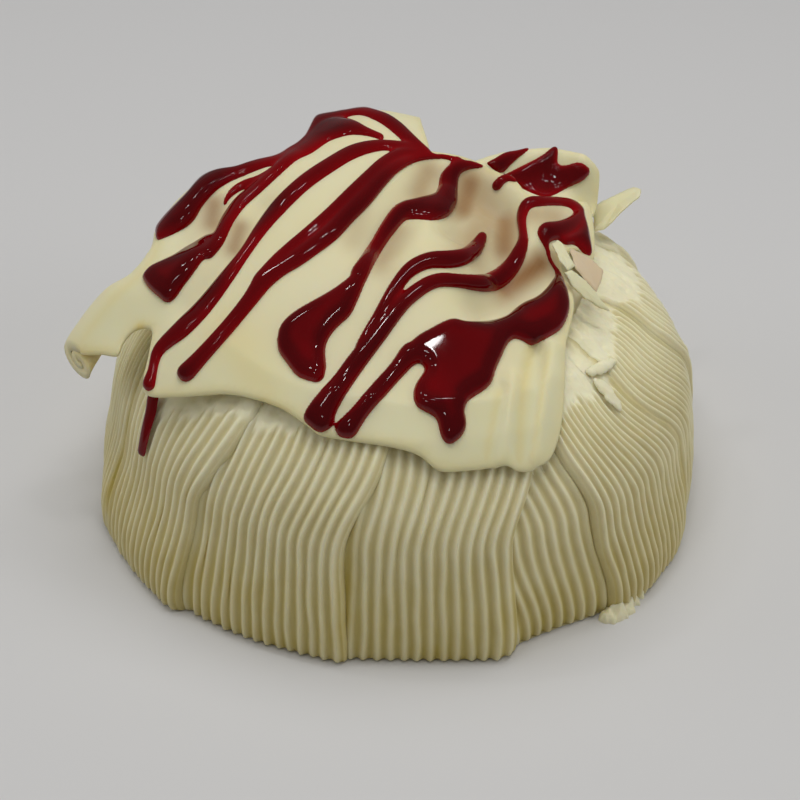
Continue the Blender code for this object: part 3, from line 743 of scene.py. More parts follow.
    def height(self, x: Array, y: Array) -> Array:
        """Height of the coat's highest ridges over the plan.

        Args:
            x: first coordinates of the places.
            y: their second coordinates.

        Returns:
            The height at each place.
        """
        radius = np.hypot(x, y)
        azimuth = np.degrees(np.arctan2(y, x)) % 360.0
        highest = self.lap - self.tuck + 0.5 * self.rib_depth
        inner = np.zeros(np.shape(x))
        level = np.full(np.shape(x), self.top)
        found = np.full(np.shape(x), self.profile[2][1])
        for row_radius, row_height in self.profile[:1:-1]:
            relief = highest * float(self.rib_fade(row_radius))
            ring = self.point(azimuth, row_radius, row_height, relief)
            outer, low = np.hypot(ring[..., 0], ring[..., 1]), ring[..., 2]
            share = (radius - inner) / np.maximum(outer - inner, 1e-6)
            here = (radius >= inner) & (radius < outer)
            found = np.where(here, level + (low - level) * share, found)
            inner, level = outer, low
        return np.where(radius < self.profile[2][0], found, self.profile[2][1])

    def raised(self, band: int) -> Raised:
        """Which edge of a band is on top.

        Args:
            band: number of the band.

        Returns:
            The edge that lies over its neighbour.
        """
        if band == self.lowest:
            return Raised.NEITHER
        return Raised.END if band < self.lowest else Raised.START

    def lift(self, band: int, share: Array) -> Array:
        """How far a band stands out across its width.

        Args:
            band: number of the band.
            share: shares of its width.

        Returns:
            The lift in mm at each share.
        """
        if self.raised(band) is Raised.NEITHER:
            return 0.0 * share - self.sunk
        over = share if self.raised(band) is Raised.END else 1.0 - share
        return self.laps[band] * over - self.tuck


COAT = CoatForm()


SMEAR = ((604, 619, 10), (613, 617, 19), (624, 608, 19), (633, 598, 16), (640, 588, 11), (648, 577, 7))
TORN = (
    ((599, 385, 9), (606, 390, 14), (613, 398, 12), (619, 406, 6)),
    ((590, 371, 8), (602, 367, 10), (613, 361, 6)),
)


@dataclass
class CreamCoat:
    """The piped coat.

    It has a strip for each band, the plain top, the underside, the smear at
    the foot and the torn bits on the shoulder.
    """

    form: CoatForm = COAT
    columns_per_rib: int = 8
    row_spacing: float = 1.05
    rows_end: float = 60.0
    edge_drop: Tuple = ((0.35, 0.4), (0.8, 1.2), (1.15, 2.3), (1.35, 3.8))
    tuck_ribs: float = 1.5
    tuck_slope: float = 0.35
    ridge: float = 2.2
    sway: Tuple[float, float] = (0.22, 22.0)
    rib_sizes: Tuple[float, float] = (0.85, 1.15)
    rib_waver: Tuple[float, float] = (0.12, 15.0)
    loose: Tuple = ((0.5, 9.0, 21), (0.22, 2.4, 22))
    valley_width: float = 2.6
    plain_reach: float = 92.0
    plain_spacing: float = 2.0
    base_level: float = 0.4
    base_rings: Tuple = (0.99, 0.6, 0.2)
    lump_spacing: float = 0.5
    lump_margin: float = 6.0
    lump_pixels_per_mm: float = 2.8
    ragged: Tuple = ((0.7, 4.0, 31), (0.35, 1.8, 32))
    ragged_half: float = 3.8
    smear_height: float = 4.6
    torn_height: float = 0.7
    torn_sunk: float = 1.4

    def build(self) -> List[bpy.types.Object]:
        """Makes every piece of the coat.

        Returns:
            The pieces.
        """
        made = [self.band(index) for index in range(len(self.form.seams))]
        made.append(self.plain_top())
        made.append(self.base())
        made += self.lumps()
        for piece in made:
            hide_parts("cake")
        return made

    def profile_rows(self) -> Array:
        """Radius and height of the rows, from the base up to the ribs' end."""
        rows = smooth_line(self.form.profile, self.row_spacing)
        return rows[rows[:, 0] > self.rows_end]

    def columns(self, band: int) -> Dict[str, Array]:
        """Columns across a band.

        Args:
            band: number of the band.

        Returns:
            For each column its share of the width, its offset beyond the
            edge in mm, the rib's swell, its lift and its rib.
        """
        form = self.form
        start, end = form.seams[band][0], float(form.seam(band + 1, np.array(0.0)))
        pitch = form.pitches[band]
        ribs = round(math.radians(end - start) * form.foot_radius / pitch)
        steps = np.arange(ribs * self.columns_per_rib + 1)
        share = steps / (ribs * self.columns_per_rib)
        phase = (steps % self.columns_per_rib) / self.columns_per_rib
        swell = np.sin(math.pi * phase) ** self.ridge
        lift = form.lift(band, share)
        rib = np.minimum(steps // self.columns_per_rib, ribs - 1)
        table = np.stack([share, 0.0 * share, swell, lift, rib.astype(float)], axis=1)
        raised = form.raised(band)
        under = np.arange(1, round(self.tuck_ribs * self.columns_per_rib) + 1)
        beyond = under * pitch / self.columns_per_rib
        wave = np.sin(math.pi * ((under % self.columns_per_rib) / self.columns_per_rib)) ** self.ridge
        edge = min(lift[0], lift[-1])
        low = [(0.0, -b, w, edge - self.tuck_slope * b, 0.0) for b, w in zip(beyond, wave)]
        if raised is Raised.START:
            head = [(0.0, -out, 0.3, lift[0] - down, 0.0) for out, down in self.edge_drop]
        else:
            head = low
        if raised is Raised.END:
            tail = [(1.0, out, 0.3, lift[-1] - down, ribs - 1.0) for out, down in self.edge_drop]
        else:
            tail = [(1.0, -o, w, f, ribs - 1.0) for _, o, w, f, _ in low]
        table = np.concatenate([np.array(head)[::-1], table, np.array(tail)])
        return dict(zip(("share", "offset", "swell", "lift", "rib"), table.T), ribs=ribs)

    def band(self, band: int) -> bpy.types.Object:
        """One piped band, ribbed along its length.

        Args:
            band: number of the band.

        Returns:
            The piece.
        """
        form = self.form
        rows = self.profile_rows()
        radius, height = rows[:, 0][:, None], rows[:, 1][:, None]
        column = self.columns(band)
        start = form.seam(band, rows[:, 1], own=True)[:, None]
        end = form.seam(band + 1, rows[:, 1])[:, None]
        share, rib = column["share"][None, :], column["rib"][None, :]
        azimuth = start + (end - start) * share
        sway = self.sway[0] * wander(height, rib * 9.0, self.sway[1], 40 + band)
        azimuth = azimuth + np.degrees((column["offset"][None, :] + sway) / radius)
        draw = np.random.RandomState(70 + band)
        size = draw.uniform(*self.rib_sizes, int(column["ribs"]))[column["rib"].astype(int)]
        waver = 1.0 + self.rib_waver[0] * wander(height, rib * 7.0, self.rib_waver[1], band)
        swell = column["swell"][None, :] * size[None, :] * waver
        full = self.fade(azimuth, radius, rib)
        lumps = ripples(azimuth * 1.5, radius, self.loose) * (1.0 - full)
        relief = form.rib_depth * (swell - 0.4) * full + lumps
        relief = relief + column["lift"][None, :] * (0.35 + 0.65 * form.rib_fade(radius))
        relief = relief * blend(-6.0, 2.5, height)
        points = form.point(azimuth, radius + 0.0 * azimuth, height + 0.0 * azimuth, relief)
        width = np.radians(end - start) * radius
        low = width * (share if form.raised(band) is not Raised.START else 1.0 - share)
        if form.raised(band) is Raised.NEITHER:
            low = width * np.minimum(share, 1.0 - share)
        # Painted shade: grooves between ribs and the valleys where bands meet get the dark groove
        # colour, and the last term paints the coat darker and yellower towards the foot as painted shade
        # and painted yellow bounce light.
        valley = np.exp(-(low / self.valley_width) ** 2) * blend(4.0, 20.0, height)
        deep = np.maximum(0.62 * (1.0 - column["swell"][None, :]) * full, 0.8 * valley)
        deep = deep * 0.75 + 0.40 * (1.0 - blend(0.0, 70.0, height))
        faces = grid_faces(len(rows), len(column["share"]))
        return mesh_piece(f"cream_band_{band:02d}", points.reshape(-1, 3), faces, CREAM,
                          "whipped_cream", deep=deep.ravel())

    def fade(self, azimuth: Array, radius: Array, rib: Array) -> Array:
        """How full the ribs are; they end one by one, in a comb of tails.

        Args:
            azimuth: in degrees.
            radius: the profile's radius.
            rib: numbers of the ribs.

        Returns:
            1 where a rib is full, 0 past its end.
        """
        azimuths, stops = zip(*self.form.rib_stops)
        stop = np.interp(azimuth % 360.0, [a % 360.0 for a in azimuths], stops, period=360.0)
        stop = stop + 0.9 * np.sin(rib * 2.4) + 0.7 * np.sin(rib * 5.1)
        return blend(-1.2, 1.4, radius - stop)

    def plain_top(self) -> bpy.types.Object:
        """The plain cream on top, under the ends of the bands.

        Returns:
            The piece.
        """
        rows = smooth_line([*self.form.profile, (8.0, self.form.top - 0.2)], self.plain_spacing)
        rows = rows[rows[:, 0] < self.plain_reach]
        azimuths = np.arange(0.0, 360.0, 2.0)
        radius, height = rows[:, 0][:, None], rows[:, 1][:, None]
        azimuth = azimuths[None, :] + 0.0 * radius
        flat = self.form.point(azimuth, radius + 0.0 * azimuth, height + 0.0 * azimuth, 0.0 * azimuth)
        lumps = 0.7 * wander(flat[..., 0], flat[..., 1], 13.0, 5) - 1.6
        points = self.form.point(azimuth, radius + 0.0 * azimuth, height + 0.0 * azimuth,
                                 lumps * blend(8.0, 16.0, radius))
        corners = np.concatenate([points.reshape(-1, 3), [(0.0, 0.0, self.form.top)]])
        # A little painted shade over all of the plain top.
        return mesh_piece("cream_top", corners, cap_faces(*points.shape[:2]), CREAM, "whipped_cream",
                          deep=0.15 + np.zeros(len(corners)))

    def base(self) -> bpy.types.Object:
        """The flat underside, which closes the coat.

        Returns:
            The piece.
        """
        azimuths = np.arange(0.0, 360.0, 1.5)
        level = self.base_level + 0.0 * azimuths
        rings = [self.form.point(azimuths, self.form.foot_radius * share + 0.0 * azimuths,
                                 level, 0.0 * azimuths) for share in self.base_rings]
        corners = np.concatenate([*rings, [(0.0, 0.0, self.base_level)]])
        faces = cap_faces(len(rings), len(azimuths))
        # The underside gets painted shade as well.
        return mesh_piece("cream_underside", corners, faces, CREAM, "whipped_cream",
                          deep=0.4 + np.zeros(len(corners)))

    def lump(self, name: str, dots: Pixels, surface: Height, tall: float) -> bpy.types.Object:
        """A low rough lump of cream along a line seen in the reference view.

        Args:
            name: name of the piece.
            dots: pixels of the line, each with the lump's width there.
            surface: what it lies on.
            tall: how far it stands out, mm.

        Returns:
            The piece.
        """
        spots = VIEW.sight(dots, surface)
        half = np.array([d[2] for d in dots]) / (2.0 * self.lump_pixels_per_mm)
        low, high = spots.min(axis=0) - self.lump_margin, spots.max(axis=0) + self.lump_margin
        xs, ys = np.meshgrid(np.arange(low[0], high[0], self.lump_spacing),
                             np.arange(low[1], high[1], self.lump_spacing))
        line = smooth_line(np.column_stack([spots[:, :2], half]), 1.5)
        reach = np.max([h - np.hypot(xs - x, ys - y) for x, y, h in line], axis=0)
        reach = reach + ripples(xs, ys, self.ragged) * (half.max() / self.ragged_half) ** 2

        def top(inside: Array) -> Array:
            """Thickness, from the distance inside the outline."""
            rough = 1.0 + 0.25 * wander(xs, ys, 2.6, 33)
            return tall * np.sqrt(np.clip(inside / (0.9 * half.max()), 0.0, 1.0)) * rough

        base, up = surface_grid(surface, xs, ys, self.lump_spacing)
        points, faces, _ = bead(base, up, reach, top)
        # The lumps get almost no painted shade.
        return mesh_piece(name, points, faces, CREAM, "whipped_cream",
                          deep=0.05 + np.zeros(len(points)))

    def lumps(self) -> List[bpy.types.Object]:
        """The cream pushed out at the foot, and torn bits on the shoulder.

        Returns:
            The pieces.
        """

        def shoulder(x: Array, y: Array) -> Array:
            """A surface a little below the coat's highest ridges."""
            return self.form.height(x, y) - self.torn_sunk

        made = [self.lump("cream_smear", SMEAR, lambda x, y: 0.0 * x, self.smear_height)]
        for number, dots in enumerate(TORN):
            made.append(self.lump(f"cream_torn_{number}", dots, shoulder, self.torn_height))
        return made


def soften(grid: Array, rounds: int) -> Array:
    """Averages a grid of numbers with their neighbours, again and again.

    Args:
        grid: the numbers.
        rounds: how many times.

    Returns:
        The softened grid.
    """
    for _ in range(rounds):
        for axis in (0, 1):
            wide = np.concatenate([grid.take([0], axis), grid, grid.take([-1], axis)], axis)
            count = grid.shape[axis]
            near = [wide.take(range(k, k + count), axis) for k in range(3)]
            grid = 0.25 * near[0] + 0.5 * near[1] + 0.25 * near[2]
    return grid


def bead(base: Array, normal: Array, field_: Array, thickness: Callable[[Array], Array]
         ) -> Tuple[Array, List, Array]:
    """The skin of something that lies on a surface, cut where a field is 0.

    Args:
        base: grid of points on the surface.
        normal: the surface's normal at each of them.
        field_: distance inside the outline, below 0 outside.
        thickness: how thick it is, from the field.

    Returns:
        Points, faces and the thickness at each point.
    """
    rows, columns = field_.shape
    thick = np.where(field_ > 0.0, thickness(field_), 0.0)
    inner = field_ > 0.0
    number = -np.ones(field_.shape, int)
    points: List = []
    depth: List = []
    for r, c in zip(*np.nonzero(inner)):
        number[r, c] = len(points)
        points.append(base[r, c] + normal[r, c] * thick[r, c])
        depth.append(thick[r, c])
    cuts: Dict = {}

    def cut(a: Tuple[int, int], b: Tuple[int, int]) -> int:
        """The point where a line of the grid leaves the outline.

        Args:
            a: row and column of one end.
            b: row and column of the other.

        Returns:
            The point's number.
        """
        key = (a, b) if a < b else (b, a)
        if key not in cuts:
            fa, fb = field_[a], field_[b]
            t = fa / (fa - fb)
            spot = base[a] + (base[b] - base[a]) * t - normal[a] * 0.25
            cuts[key] = len(points)
            points.append(spot)
            depth.append(0.0)
        return cuts[key]

    faces = []
    any_in = inner[:-1, :-1] | inner[1:, :-1] | inner[:-1, 1:] | inner[1:, 1:]
    for r, c in zip(*np.nonzero(any_in)):
        ring = [(r, c), (r, c + 1), (r + 1, c + 1), (r + 1, c)]
        face = []
        for a, b in zip(ring, ring[1:] + ring[:1]):
            if inner[a]:
                face.append(int(number[a]))
            if inner[a] != inner[b]:
                face.append(cut(a, b))
        if len(face) >= 3:
            faces.append(tuple(face))
    return np.array(points), faces, np.array(depth)


# The chocolate

@dataclass
class RuffleForm:
    """The big sheet's form: a dome, a hood behind, and folds."""

    thickness: float = 1.6
    rest_gap: float = 1.2
    apex: Tuple[float, float] = (-10.0, 25.0)
    top: float = 118.0
    fall: float = 0.0042
    hood: Tuple[float, float, float, float] = (-13.0, 44.0, 17.0, 3.0)
    hood_fall: float = 0.028
    tail_ripple: Tuple[float, float] = (1.1, 3.4)
    fold_lines: Tuple = (
        (((80, 343), (104, 305)), 13.0, 4.4),
        (((120, 278), (150, 238)), 12.0, -2.6),
        (((270, 165), (200, 197), (152, 252), (120, 296)), 12.0, 3.0),
        (((243, 166), (270, 160), (295, 149), (314, 131), (334, 119)), 9.0, -2.4),
        (((242, 190), (216, 214), (198, 236)), 8.0, -4.5),
        (((250, 197), (222, 240), (182, 280), (150, 300)), 7.0, 1.5),
        (((262, 207), (240, 236), (222, 262), (196, 300)), 6.0, -3.0),
        (((436, 168), (424, 183), (404, 206), (380, 236)), 8.0, -5.5),
        (((478, 178), (467, 196), (461, 216)), 8.0, -9.0),
        (((506, 195), (508, 216), (503, 240), (494, 256)), 7.0, -8.5),
        (((548, 258), (530, 273), (508, 289), (484, 299)), 7.0, -7.5),
        (((536, 345), (527, 400), (523, 460)), 2.4, -3.2),
        (((500, 392), (491, 430), (487, 460)), 2.4, -2.4),
        (((554, 350), (546, 400), (536, 458)), 2.8, 2.2),
        (((514, 380), (508, 430), (506, 460)), 3.2, 2.0),
    )
    folds: List = field(default_factory=list)

    def __post_init__(self) -> None:
        """Carries the folds' lines down to the dome."""
        for pixels, width, rise in self.fold_lines:
            self.folds.append((VIEW.sight(pixels, self.mound), width, rise))

    def rest(self, x: Array, y: Array) -> Array:
        """The lowest that a sheet's upper face can lie."""
        return COAT.height(x, y) + self.rest_gap + self.thickness

    def ease_up(self, free: Array, rest: Array) -> Array:
        """A free height, eased into its rest where it would go below.

        Args:
            free: the free height.
            rest: the height of its rest.

        Returns:
            The eased height.
        """
        ease = 4.0
        top, lower = np.maximum(free, rest), np.minimum(free, rest)
        return top + ease * np.log(1.0 + np.exp((lower - top) / ease)) - 0.7

    def mound(self, x: Array, y: Array) -> Array:
        """The dome that the chocolate is draped over.

        Args:
            x: first coordinates of the places.
            y: their second coordinates.

        Returns:
            The height at each place.
        """
        dome = self.top - self.fall * ((x - self.apex[0]) ** 2 + (y - self.apex[1]) ** 2)
        hx, hy, radius, rise = self.hood
        hood = np.hypot(x - hx, y - hy) / radius
        dome = dome + rise * np.exp(-hood * hood) - self.hood_fall * np.maximum(y - hy, 0.0) ** 2
        return self.ease_up(dome, self.rest(x, y))

    def height(self, x: Array, y: Array) -> Array:
        """Height of the bare sheet's upper face.

        Args:
            x: first coordinates of the places.
            y: their second coordinates.

        Returns:
            The height at each place.
        """
        folds = np.zeros(np.shape(x))
        for line, width, rise in self.folds:
            away, _ = line_distance(line, x, y)
            folds = folds + rise * np.exp(-((away / width) ** 2))
        rise, run = self.tail_ripple
        folds = folds + rise * np.sin(x / run) * blend(46.0, 66.0, y)
        return np.maximum(self.mound(x, y) + folds, self.rest(x, y))


@dataclass
class DrapedSheet:
    """A thin sheet over an outline in plan, with rounded edges."""

    name: str
    outline: Array
    height: Height
    thickness: float = 1.6
    body_slope: float = 0.9
    lip: float = 13.0
    spacing: float = 1.35
    rim: float = 0.45
    top_rounding: float = 0.45
    low_rounding: float = 0.35
    gap: float = 1.2
    rim_glow: float = 0.25
    rim_glow_width: float = 2.2

    def under(self, x: Array, y: Array) -> Array:
        """Height of the lower face: a thin lip, then down to the coat.

        Args:
            x: first coordinates of the places.
            y: their second coordinates.

        Returns:
            The height at each place.
        """
        inside = np.maximum(outline_distance(self.outline, x, y) - self.lip, 0.0)
        thin = self.height(x, y) - self.thickness - self.body_slope * inside
        return np.maximum(thin, COAT.height(x, y) + self.gap)

    def plan(self) -> Tuple[Array, Array, List]:
        """Splits the outline into triangles.

        Returns:
            The plan's points, the outline's points among them in order, and
            the triangles.
        """
        edge = self.outline[:, :2]
        ahead, behind = np.roll(edge, -1, axis=0), np.roll(edge, 1, axis=0)
        run = unit(ahead - behind)
        left = np.stack([-run[:, 1], run[:, 0]], axis=1)
        turning = np.sum(edge[:, 0] * ahead[:, 1] - ahead[:, 0] * edge[:, 1])
        inward = left if turning > 0 else -left
        ring = edge + inward * self.rim
        low, high = edge.min(axis=0), edge.max(axis=0)
        xs = np.arange(low[0], high[0], self.spacing)
        ys = np.arange(low[1], high[1], self.spacing * math.sqrt(0.75))
        gx, gy = np.meshgrid(xs, ys)
        gx = gx + 0.5 * self.spacing * (np.arange(len(ys)) % 2)[:, None]
        gx, gy = gx.ravel(), gy.ravel()
        keep = within(edge, gx, gy)
        gx, gy = gx[keep], gy[keep]
        keep = outline_distance(edge, gx, gy) > self.rim + 0.55 * self.spacing
        corners = np.concatenate([edge, ring, np.stack([gx[keep], gy[keep]], axis=1)])
        found = delaunay_2d_cdt([Vector(c) for c in corners], [], [list(range(len(edge)))], 1, 1e-4)
        verts, _, triangles, origins = found[:4]
        where = {}
        for index, sources in enumerate(origins):
            for source in sources:
                where.setdefault(source, index)
        order = [where[i] for i in range(len(edge)) if i in where]
        return np.array([tuple(v) for v in verts]), np.array(order), [tuple(t) for t in triangles]

    def build(self, extras: Callable[[Array], Dict[str, Array]], roll: "EdgeRoll" = None
              ) -> bpy.types.Object:
        """Makes the sheet.

        Args:
            extras: gives the finish's numbers for points.
            roll: a roll that the sheet's edge goes over into.

        Returns:
            The piece.
        """
        plan, order, triangles = self.plan()
        x, y = plan[:, 0], plan[:, 1]
        top, low = self.height(x, y), self.under(x, y)
        edge = np.zeros(len(plan), bool)
        edge[order] = True
        rolled = roll.spans(plan[order]) if roll else np.zeros(len(order), bool)
        sharp = edge.copy()
        sharp[order[rolled]] = False
        top = np.where(sharp, top - self.top_rounding, top)
        low = np.where(sharp, low + self.low_rounding, low)
        count = len(plan)
        points = [np.column_stack([x, y, top]), np.column_stack([x, y, low])]
        faces = list(triangles) + [tuple(i + count for i in reversed(t)) for t in triangles]
        for k in range(len(order)):
            a, b = int(order[k]), int(order[(k + 1) % len(order)])
            if rolled[k] and rolled[(k + 1) % len(order)]:
                continue
            faces.append((a, b, b + count, a + count))
        if roll:
            more, strips = roll.build(self, plan, order, rolled, points, count)
            points.append(more)
            faces += strips
        points = np.concatenate(points)
        marks = extras(points)
        # Painted light: the sheet's edge gets a yellow glow, as of light shining through the thin rim.
        away = outline_distance(self.outline, points[:, 0], points[:, 1])
        glow = self.rim_glow * np.exp(-((away / self.rim_glow_width) ** 2))
        marks["clear"] = np.maximum(marks["clear"], glow)
        return mesh_piece(self.name, points, faces, CHOCOLATE, "white_chocolate", **marks)


@dataclass
class EdgeRoll:
    """The roll that the big sheet's left edge curls under into."""

    line: Tuple = (
        (-105.5, -32.8, 6.8, 620), (-95.6, -24.6, 6.4, 560), (-86.2, -17.6, 5.6, 480),
        (-82, -8, 4.4, 360), (-83, 5.6, 3.2, 230),
    )
    oval: float = 1.55
    steps: int = 60
    tightening: float = 0.76
    thickness: float = 2.7
    look_back: float = 4.0

    def spans(self, edge: Array) -> Array:
        """Which of the outline's points the roll takes.

        Args:
            edge: the outline's points in plan, in order.

        Returns:
            True for each point that it takes.
        """
        first, last = (int(np.argmin(np.hypot(edge[:, 0] - spot[0], edge[:, 1] - spot[1])))
                       for spot in (self.line[0], self.line[-1]))
        count = len(edge)
        if (last - first) % count > count // 2:
            first, last = last, first
        rolled = np.zeros(count, bool)
        rolled[(first + np.arange((last - first) % count + 1)) % count] = True
        return rolled

    def build(self, sheet: DrapedSheet, plan: Array, order: Array, rolled: Array, skins: List,
              count: int) -> Tuple[Array, List]:
        """Sweeps the sheet's edge round.

        Args:
            sheet: the sheet whose edge it is.
            plan: the sheet's points in plan.
            order: its outline's points, in order.
            rolled: which of them the roll takes.
            skins: the sheet's upper and lower points.
            count: number of the sheet's points in each face.

        Returns:
            New points and faces.
        """
        picked = [k for k in range(len(order)) if rolled[k]]
        breaks = [i for i in range(1, len(picked)) if picked[i] != picked[i - 1] + 1]
        if breaks:
            picked = picked[breaks[0]:] + picked[:breaks[0]]
        spots = plan[order[picked]]
        line = smooth_line(self.line, 2.0)
        _, place = line_distance(line, spots[:, 0], spots[:, 1])
        radius = np.interp(place, range(len(line)), line[:, 2])
        turns = np.interp(place, range(len(line)), line[:, 3])
        along = np.gradient(line[:, :2], axis=0)
        run = np.stack([np.interp(place, range(len(line)), along[:, k]) for k in (0, 1)], axis=1)
        run = unit(run)
        away = np.stack([-run[:, 1], run[:, 0]], axis=1)
        inside = within(sheet.outline, *(spots + away * 2.0).T)
        away = np.where(inside[:, None], -away, away)
        z = skins[0][order[picked], 2]
        back = spots - self.look_back * away
        fall = np.arctan2(sheet.height(back[:, 0], back[:, 1]) - z, self.look_back)
        middle = np.column_stack([spots - away * (np.sin(fall) * radius * self.oval)[:, None],
                                  z - np.cos(fall) * radius])
        rows_out, rows_in = [], []
        for step in range(1, self.steps + 1):
            share = step / self.steps
            turn = fall + np.radians(share * turns)
            for rows, inset in ((rows_out, 0.0), (rows_in, self.thickness)):
                reach = np.maximum(radius * (1.0 - self.tightening * share) - inset, 0.05)
                rows.append(np.column_stack([
                    middle[:, :2] + away * (np.sin(turn) * reach * self.oval)[:, None],
                    middle[:, 2] + np.cos(turn) * reach]))
        wide = len(picked)
        first = 2 * count
        points = np.concatenate(rows_out + rows_in)
        outer = [order[picked]] + [first + s * wide + np.arange(wide) for s in range(self.steps)]
        inner = [order[picked] + count] + [first + (self.steps + s) * wide + np.arange(wide)
                                           for s in range(self.steps)]

        def quads(a: Sequence, b: Sequence) -> List:
            """Quads between two rows of point numbers."""
            return [(int(a[i]), int(a[i + 1]), int(b[i + 1]), int(b[i])) for i in range(len(a) - 1)]

        faces = []
        for rows in (outer, inner):
            for a, b in zip(rows, rows[1:]):
                faces += quads(a, b)
        faces += quads(outer[-1], inner[-1])
        for side in (0, -1):
            faces += quads([row[side] for row in outer], [row[side] for row in inner])
        return points, faces


CREST = (
    (430, 150), (470, 158), (500, 172), (516, 180), (530, 194), (551, 197), (575, 200), (590, 206),
)
FRONT = (
    (594, 256), (576, 248), (562, 262), (569, 282), (574, 302), (571, 322), (566, 345), (564, 400),
    (558, 438), (546, 460), (526, 469), (493, 465), (475, 467), (441, 468), (420, 453), (400, 446),
    (365, 440), (345, 437), (320, 432), (305, 421), (280, 405), (250, 395), (225, 391), (175, 394),
    (144, 389), (149, 351), (152, 329), (142, 326), (131, 331), (122, 343), (118, 353), (104, 352),
)
BACK = (
    (-105.5, -32.8), (-95.6, -24.6), (-86.2, -17.6), (-82, -8), (-83, 5.6), (-76.5, 14), (-65.5, 19),
    (-57, 19.5), (-50, 20.5), (-42, 23), (-36, 32), (-33, 44), (-31.5, 56), (-29, 67), (-23, 76),
    (-12, 81), (0, 76), (4, 60), (5, 42),
)


@dataclass
class Ruffle:
    """The big ruffled sheet with its drizzle."""

    form: RuffleForm = field(default_factory=RuffleForm)
    edge_spacing: float = 1.1
    # Lines in the view where the sheet's folds get painted pinkish-brown shade.
    fold_shade_lines: Tuple = (
        (((214, 205), (212, 222)), 12.0, 0.70),
        (((240, 228), (234, 248)), 10.0, 0.70),
        (((428, 172), (420, 192)), 14.0, 0.55),
        (((470, 184), (464, 208)), 16.0, 0.85),
        (((472, 190), (488, 222), (476, 240)), 26.0, 0.55),
        (((505, 225), (505, 248)), 16.0, 0.85),
        (((540, 264), (522, 277), (506, 288)), 15.0, 0.95),
        (((396, 232), (380, 262)), 15.0, 0.45),
        (((358, 215), (352, 240)), 14.0, 0.25),
        (((534, 214), (554, 217)), 13.0, 0.50),
    )
    # Lines in the view painted yellow: painted light shining through thin chocolate near the roll and
    # the lower edge, and painted shade in the pleats.
    yellow_light_and_shade_lines: Tuple = (
        (((140, 327), (140, 337)), 6.0, 0.9),
        (((80, 356), (98, 362)), 13.0, 0.6),
        (((262, 402), (284, 412)), 7.0, 0.6),
        (((531, 345), (522, 400), (519, 462)), 5.0, 0.45),
        (((549, 352), (541, 400), (532, 462)), 3.0, 0.35),
        (((499, 392), (491, 430), (486, 460)), 4.0, 0.35),
        (((230, 330), (250, 370), (262, 396)), 26.0, 0.30),
    )

    def outline(self) -> Array:
        """The sheet's outline in plan.

        Returns:
            Its points, one a row.
        """
        crest = VIEW.sight(CREST, self.form.height)[:, :2]
        front = VIEW.sight(FRONT, self.form.height)[:, :2]
        corners = np.concatenate([crest, front, np.array(BACK, float), crest[:1]])
        return smooth_line(corners, self.edge_spacing)[:-1]

    def marks(self, points: Array) -> Dict[str, Array]:
        """Where the sheet gets painted shade in folds and painted yellow light and shade; it gets no
        pink tint.

        Args:
            points: points in mm, one a row.

        Returns:
            The finish's numbers by their names.
        """
        pixels = VIEW.project(points)
        found = {}
        for key, lines in (("warm", self.fold_shade_lines), ("clear", self.yellow_light_and_shade_lines)):
            total = np.zeros(len(points))
            for line, width, strength in lines:
                away, _ = line_distance(np.array(line, float), pixels[:, 0], pixels[:, 1])
                total = np.maximum(total, strength * np.exp(-((away / width) ** 2)))
            found[key] = total
        found["stained"] = np.zeros(len(points))
        return found

    def build(self) -> bpy.types.Object:
        """Makes the sheet.

        Returns:
            The piece.
        """
        sheet = DrapedSheet("chocolate_ruffled_sheet", self.outline(), self.form.height)
        piece = sheet.build(self.marks, EdgeRoll())
        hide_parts("ruffled_sheet")
        return piece


def plain_marks(points: Array) -> Dict[str, Array]:
    """The finish's numbers where a sheet has no marks."""
    return {key: np.zeros(len(points)) for key in ("warm", "clear", "stained")}


@dataclass
class BackSheet:
    """The chocolate behind the left crest."""

    form: RuffleForm
    edge: Tuple = (
        (-81, 15), (-67, 26.5), (-52, 30), (-42.5, 30.5), (-38.5, 40), (-35.5, 53), (-32.5, 67),
        (-28, 79), (-42, 79), (-58, 67), (-72, 51), (-82, 32),
    )
    top: Tuple[float, float, float] = (-46.0, 28.0, 96.0)
    fall: float = 0.0105

    def height(self, x: Array, y: Array) -> Array:
        """Height of its upper face.

        Args:
            x: first coordinates of the places.
            y: their second coordinates.

        Returns:
            The height at each place.
        """
        away = (x - self.top[0]) ** 2 + (y - self.top[1]) ** 2
        free = self.top[2] - self.fall * away + 1.6 * np.sin((x + 0.6 * y) / 6.2)
        rest = self.form.rest(x, y)
        return np.maximum(self.form.ease_up(free, rest), rest)

    def build(self) -> bpy.types.Object:
        """Makes the sheet.

        Returns:
            The piece.
        """
        outline = smooth_line([*self.edge, self.edge[0]], 1.3)[:-1]
        piece = DrapedSheet("chocolate_back_sheet", outline, self.height, spacing=1.8).build(plain_marks)
        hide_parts("back_sheet")
        return piece


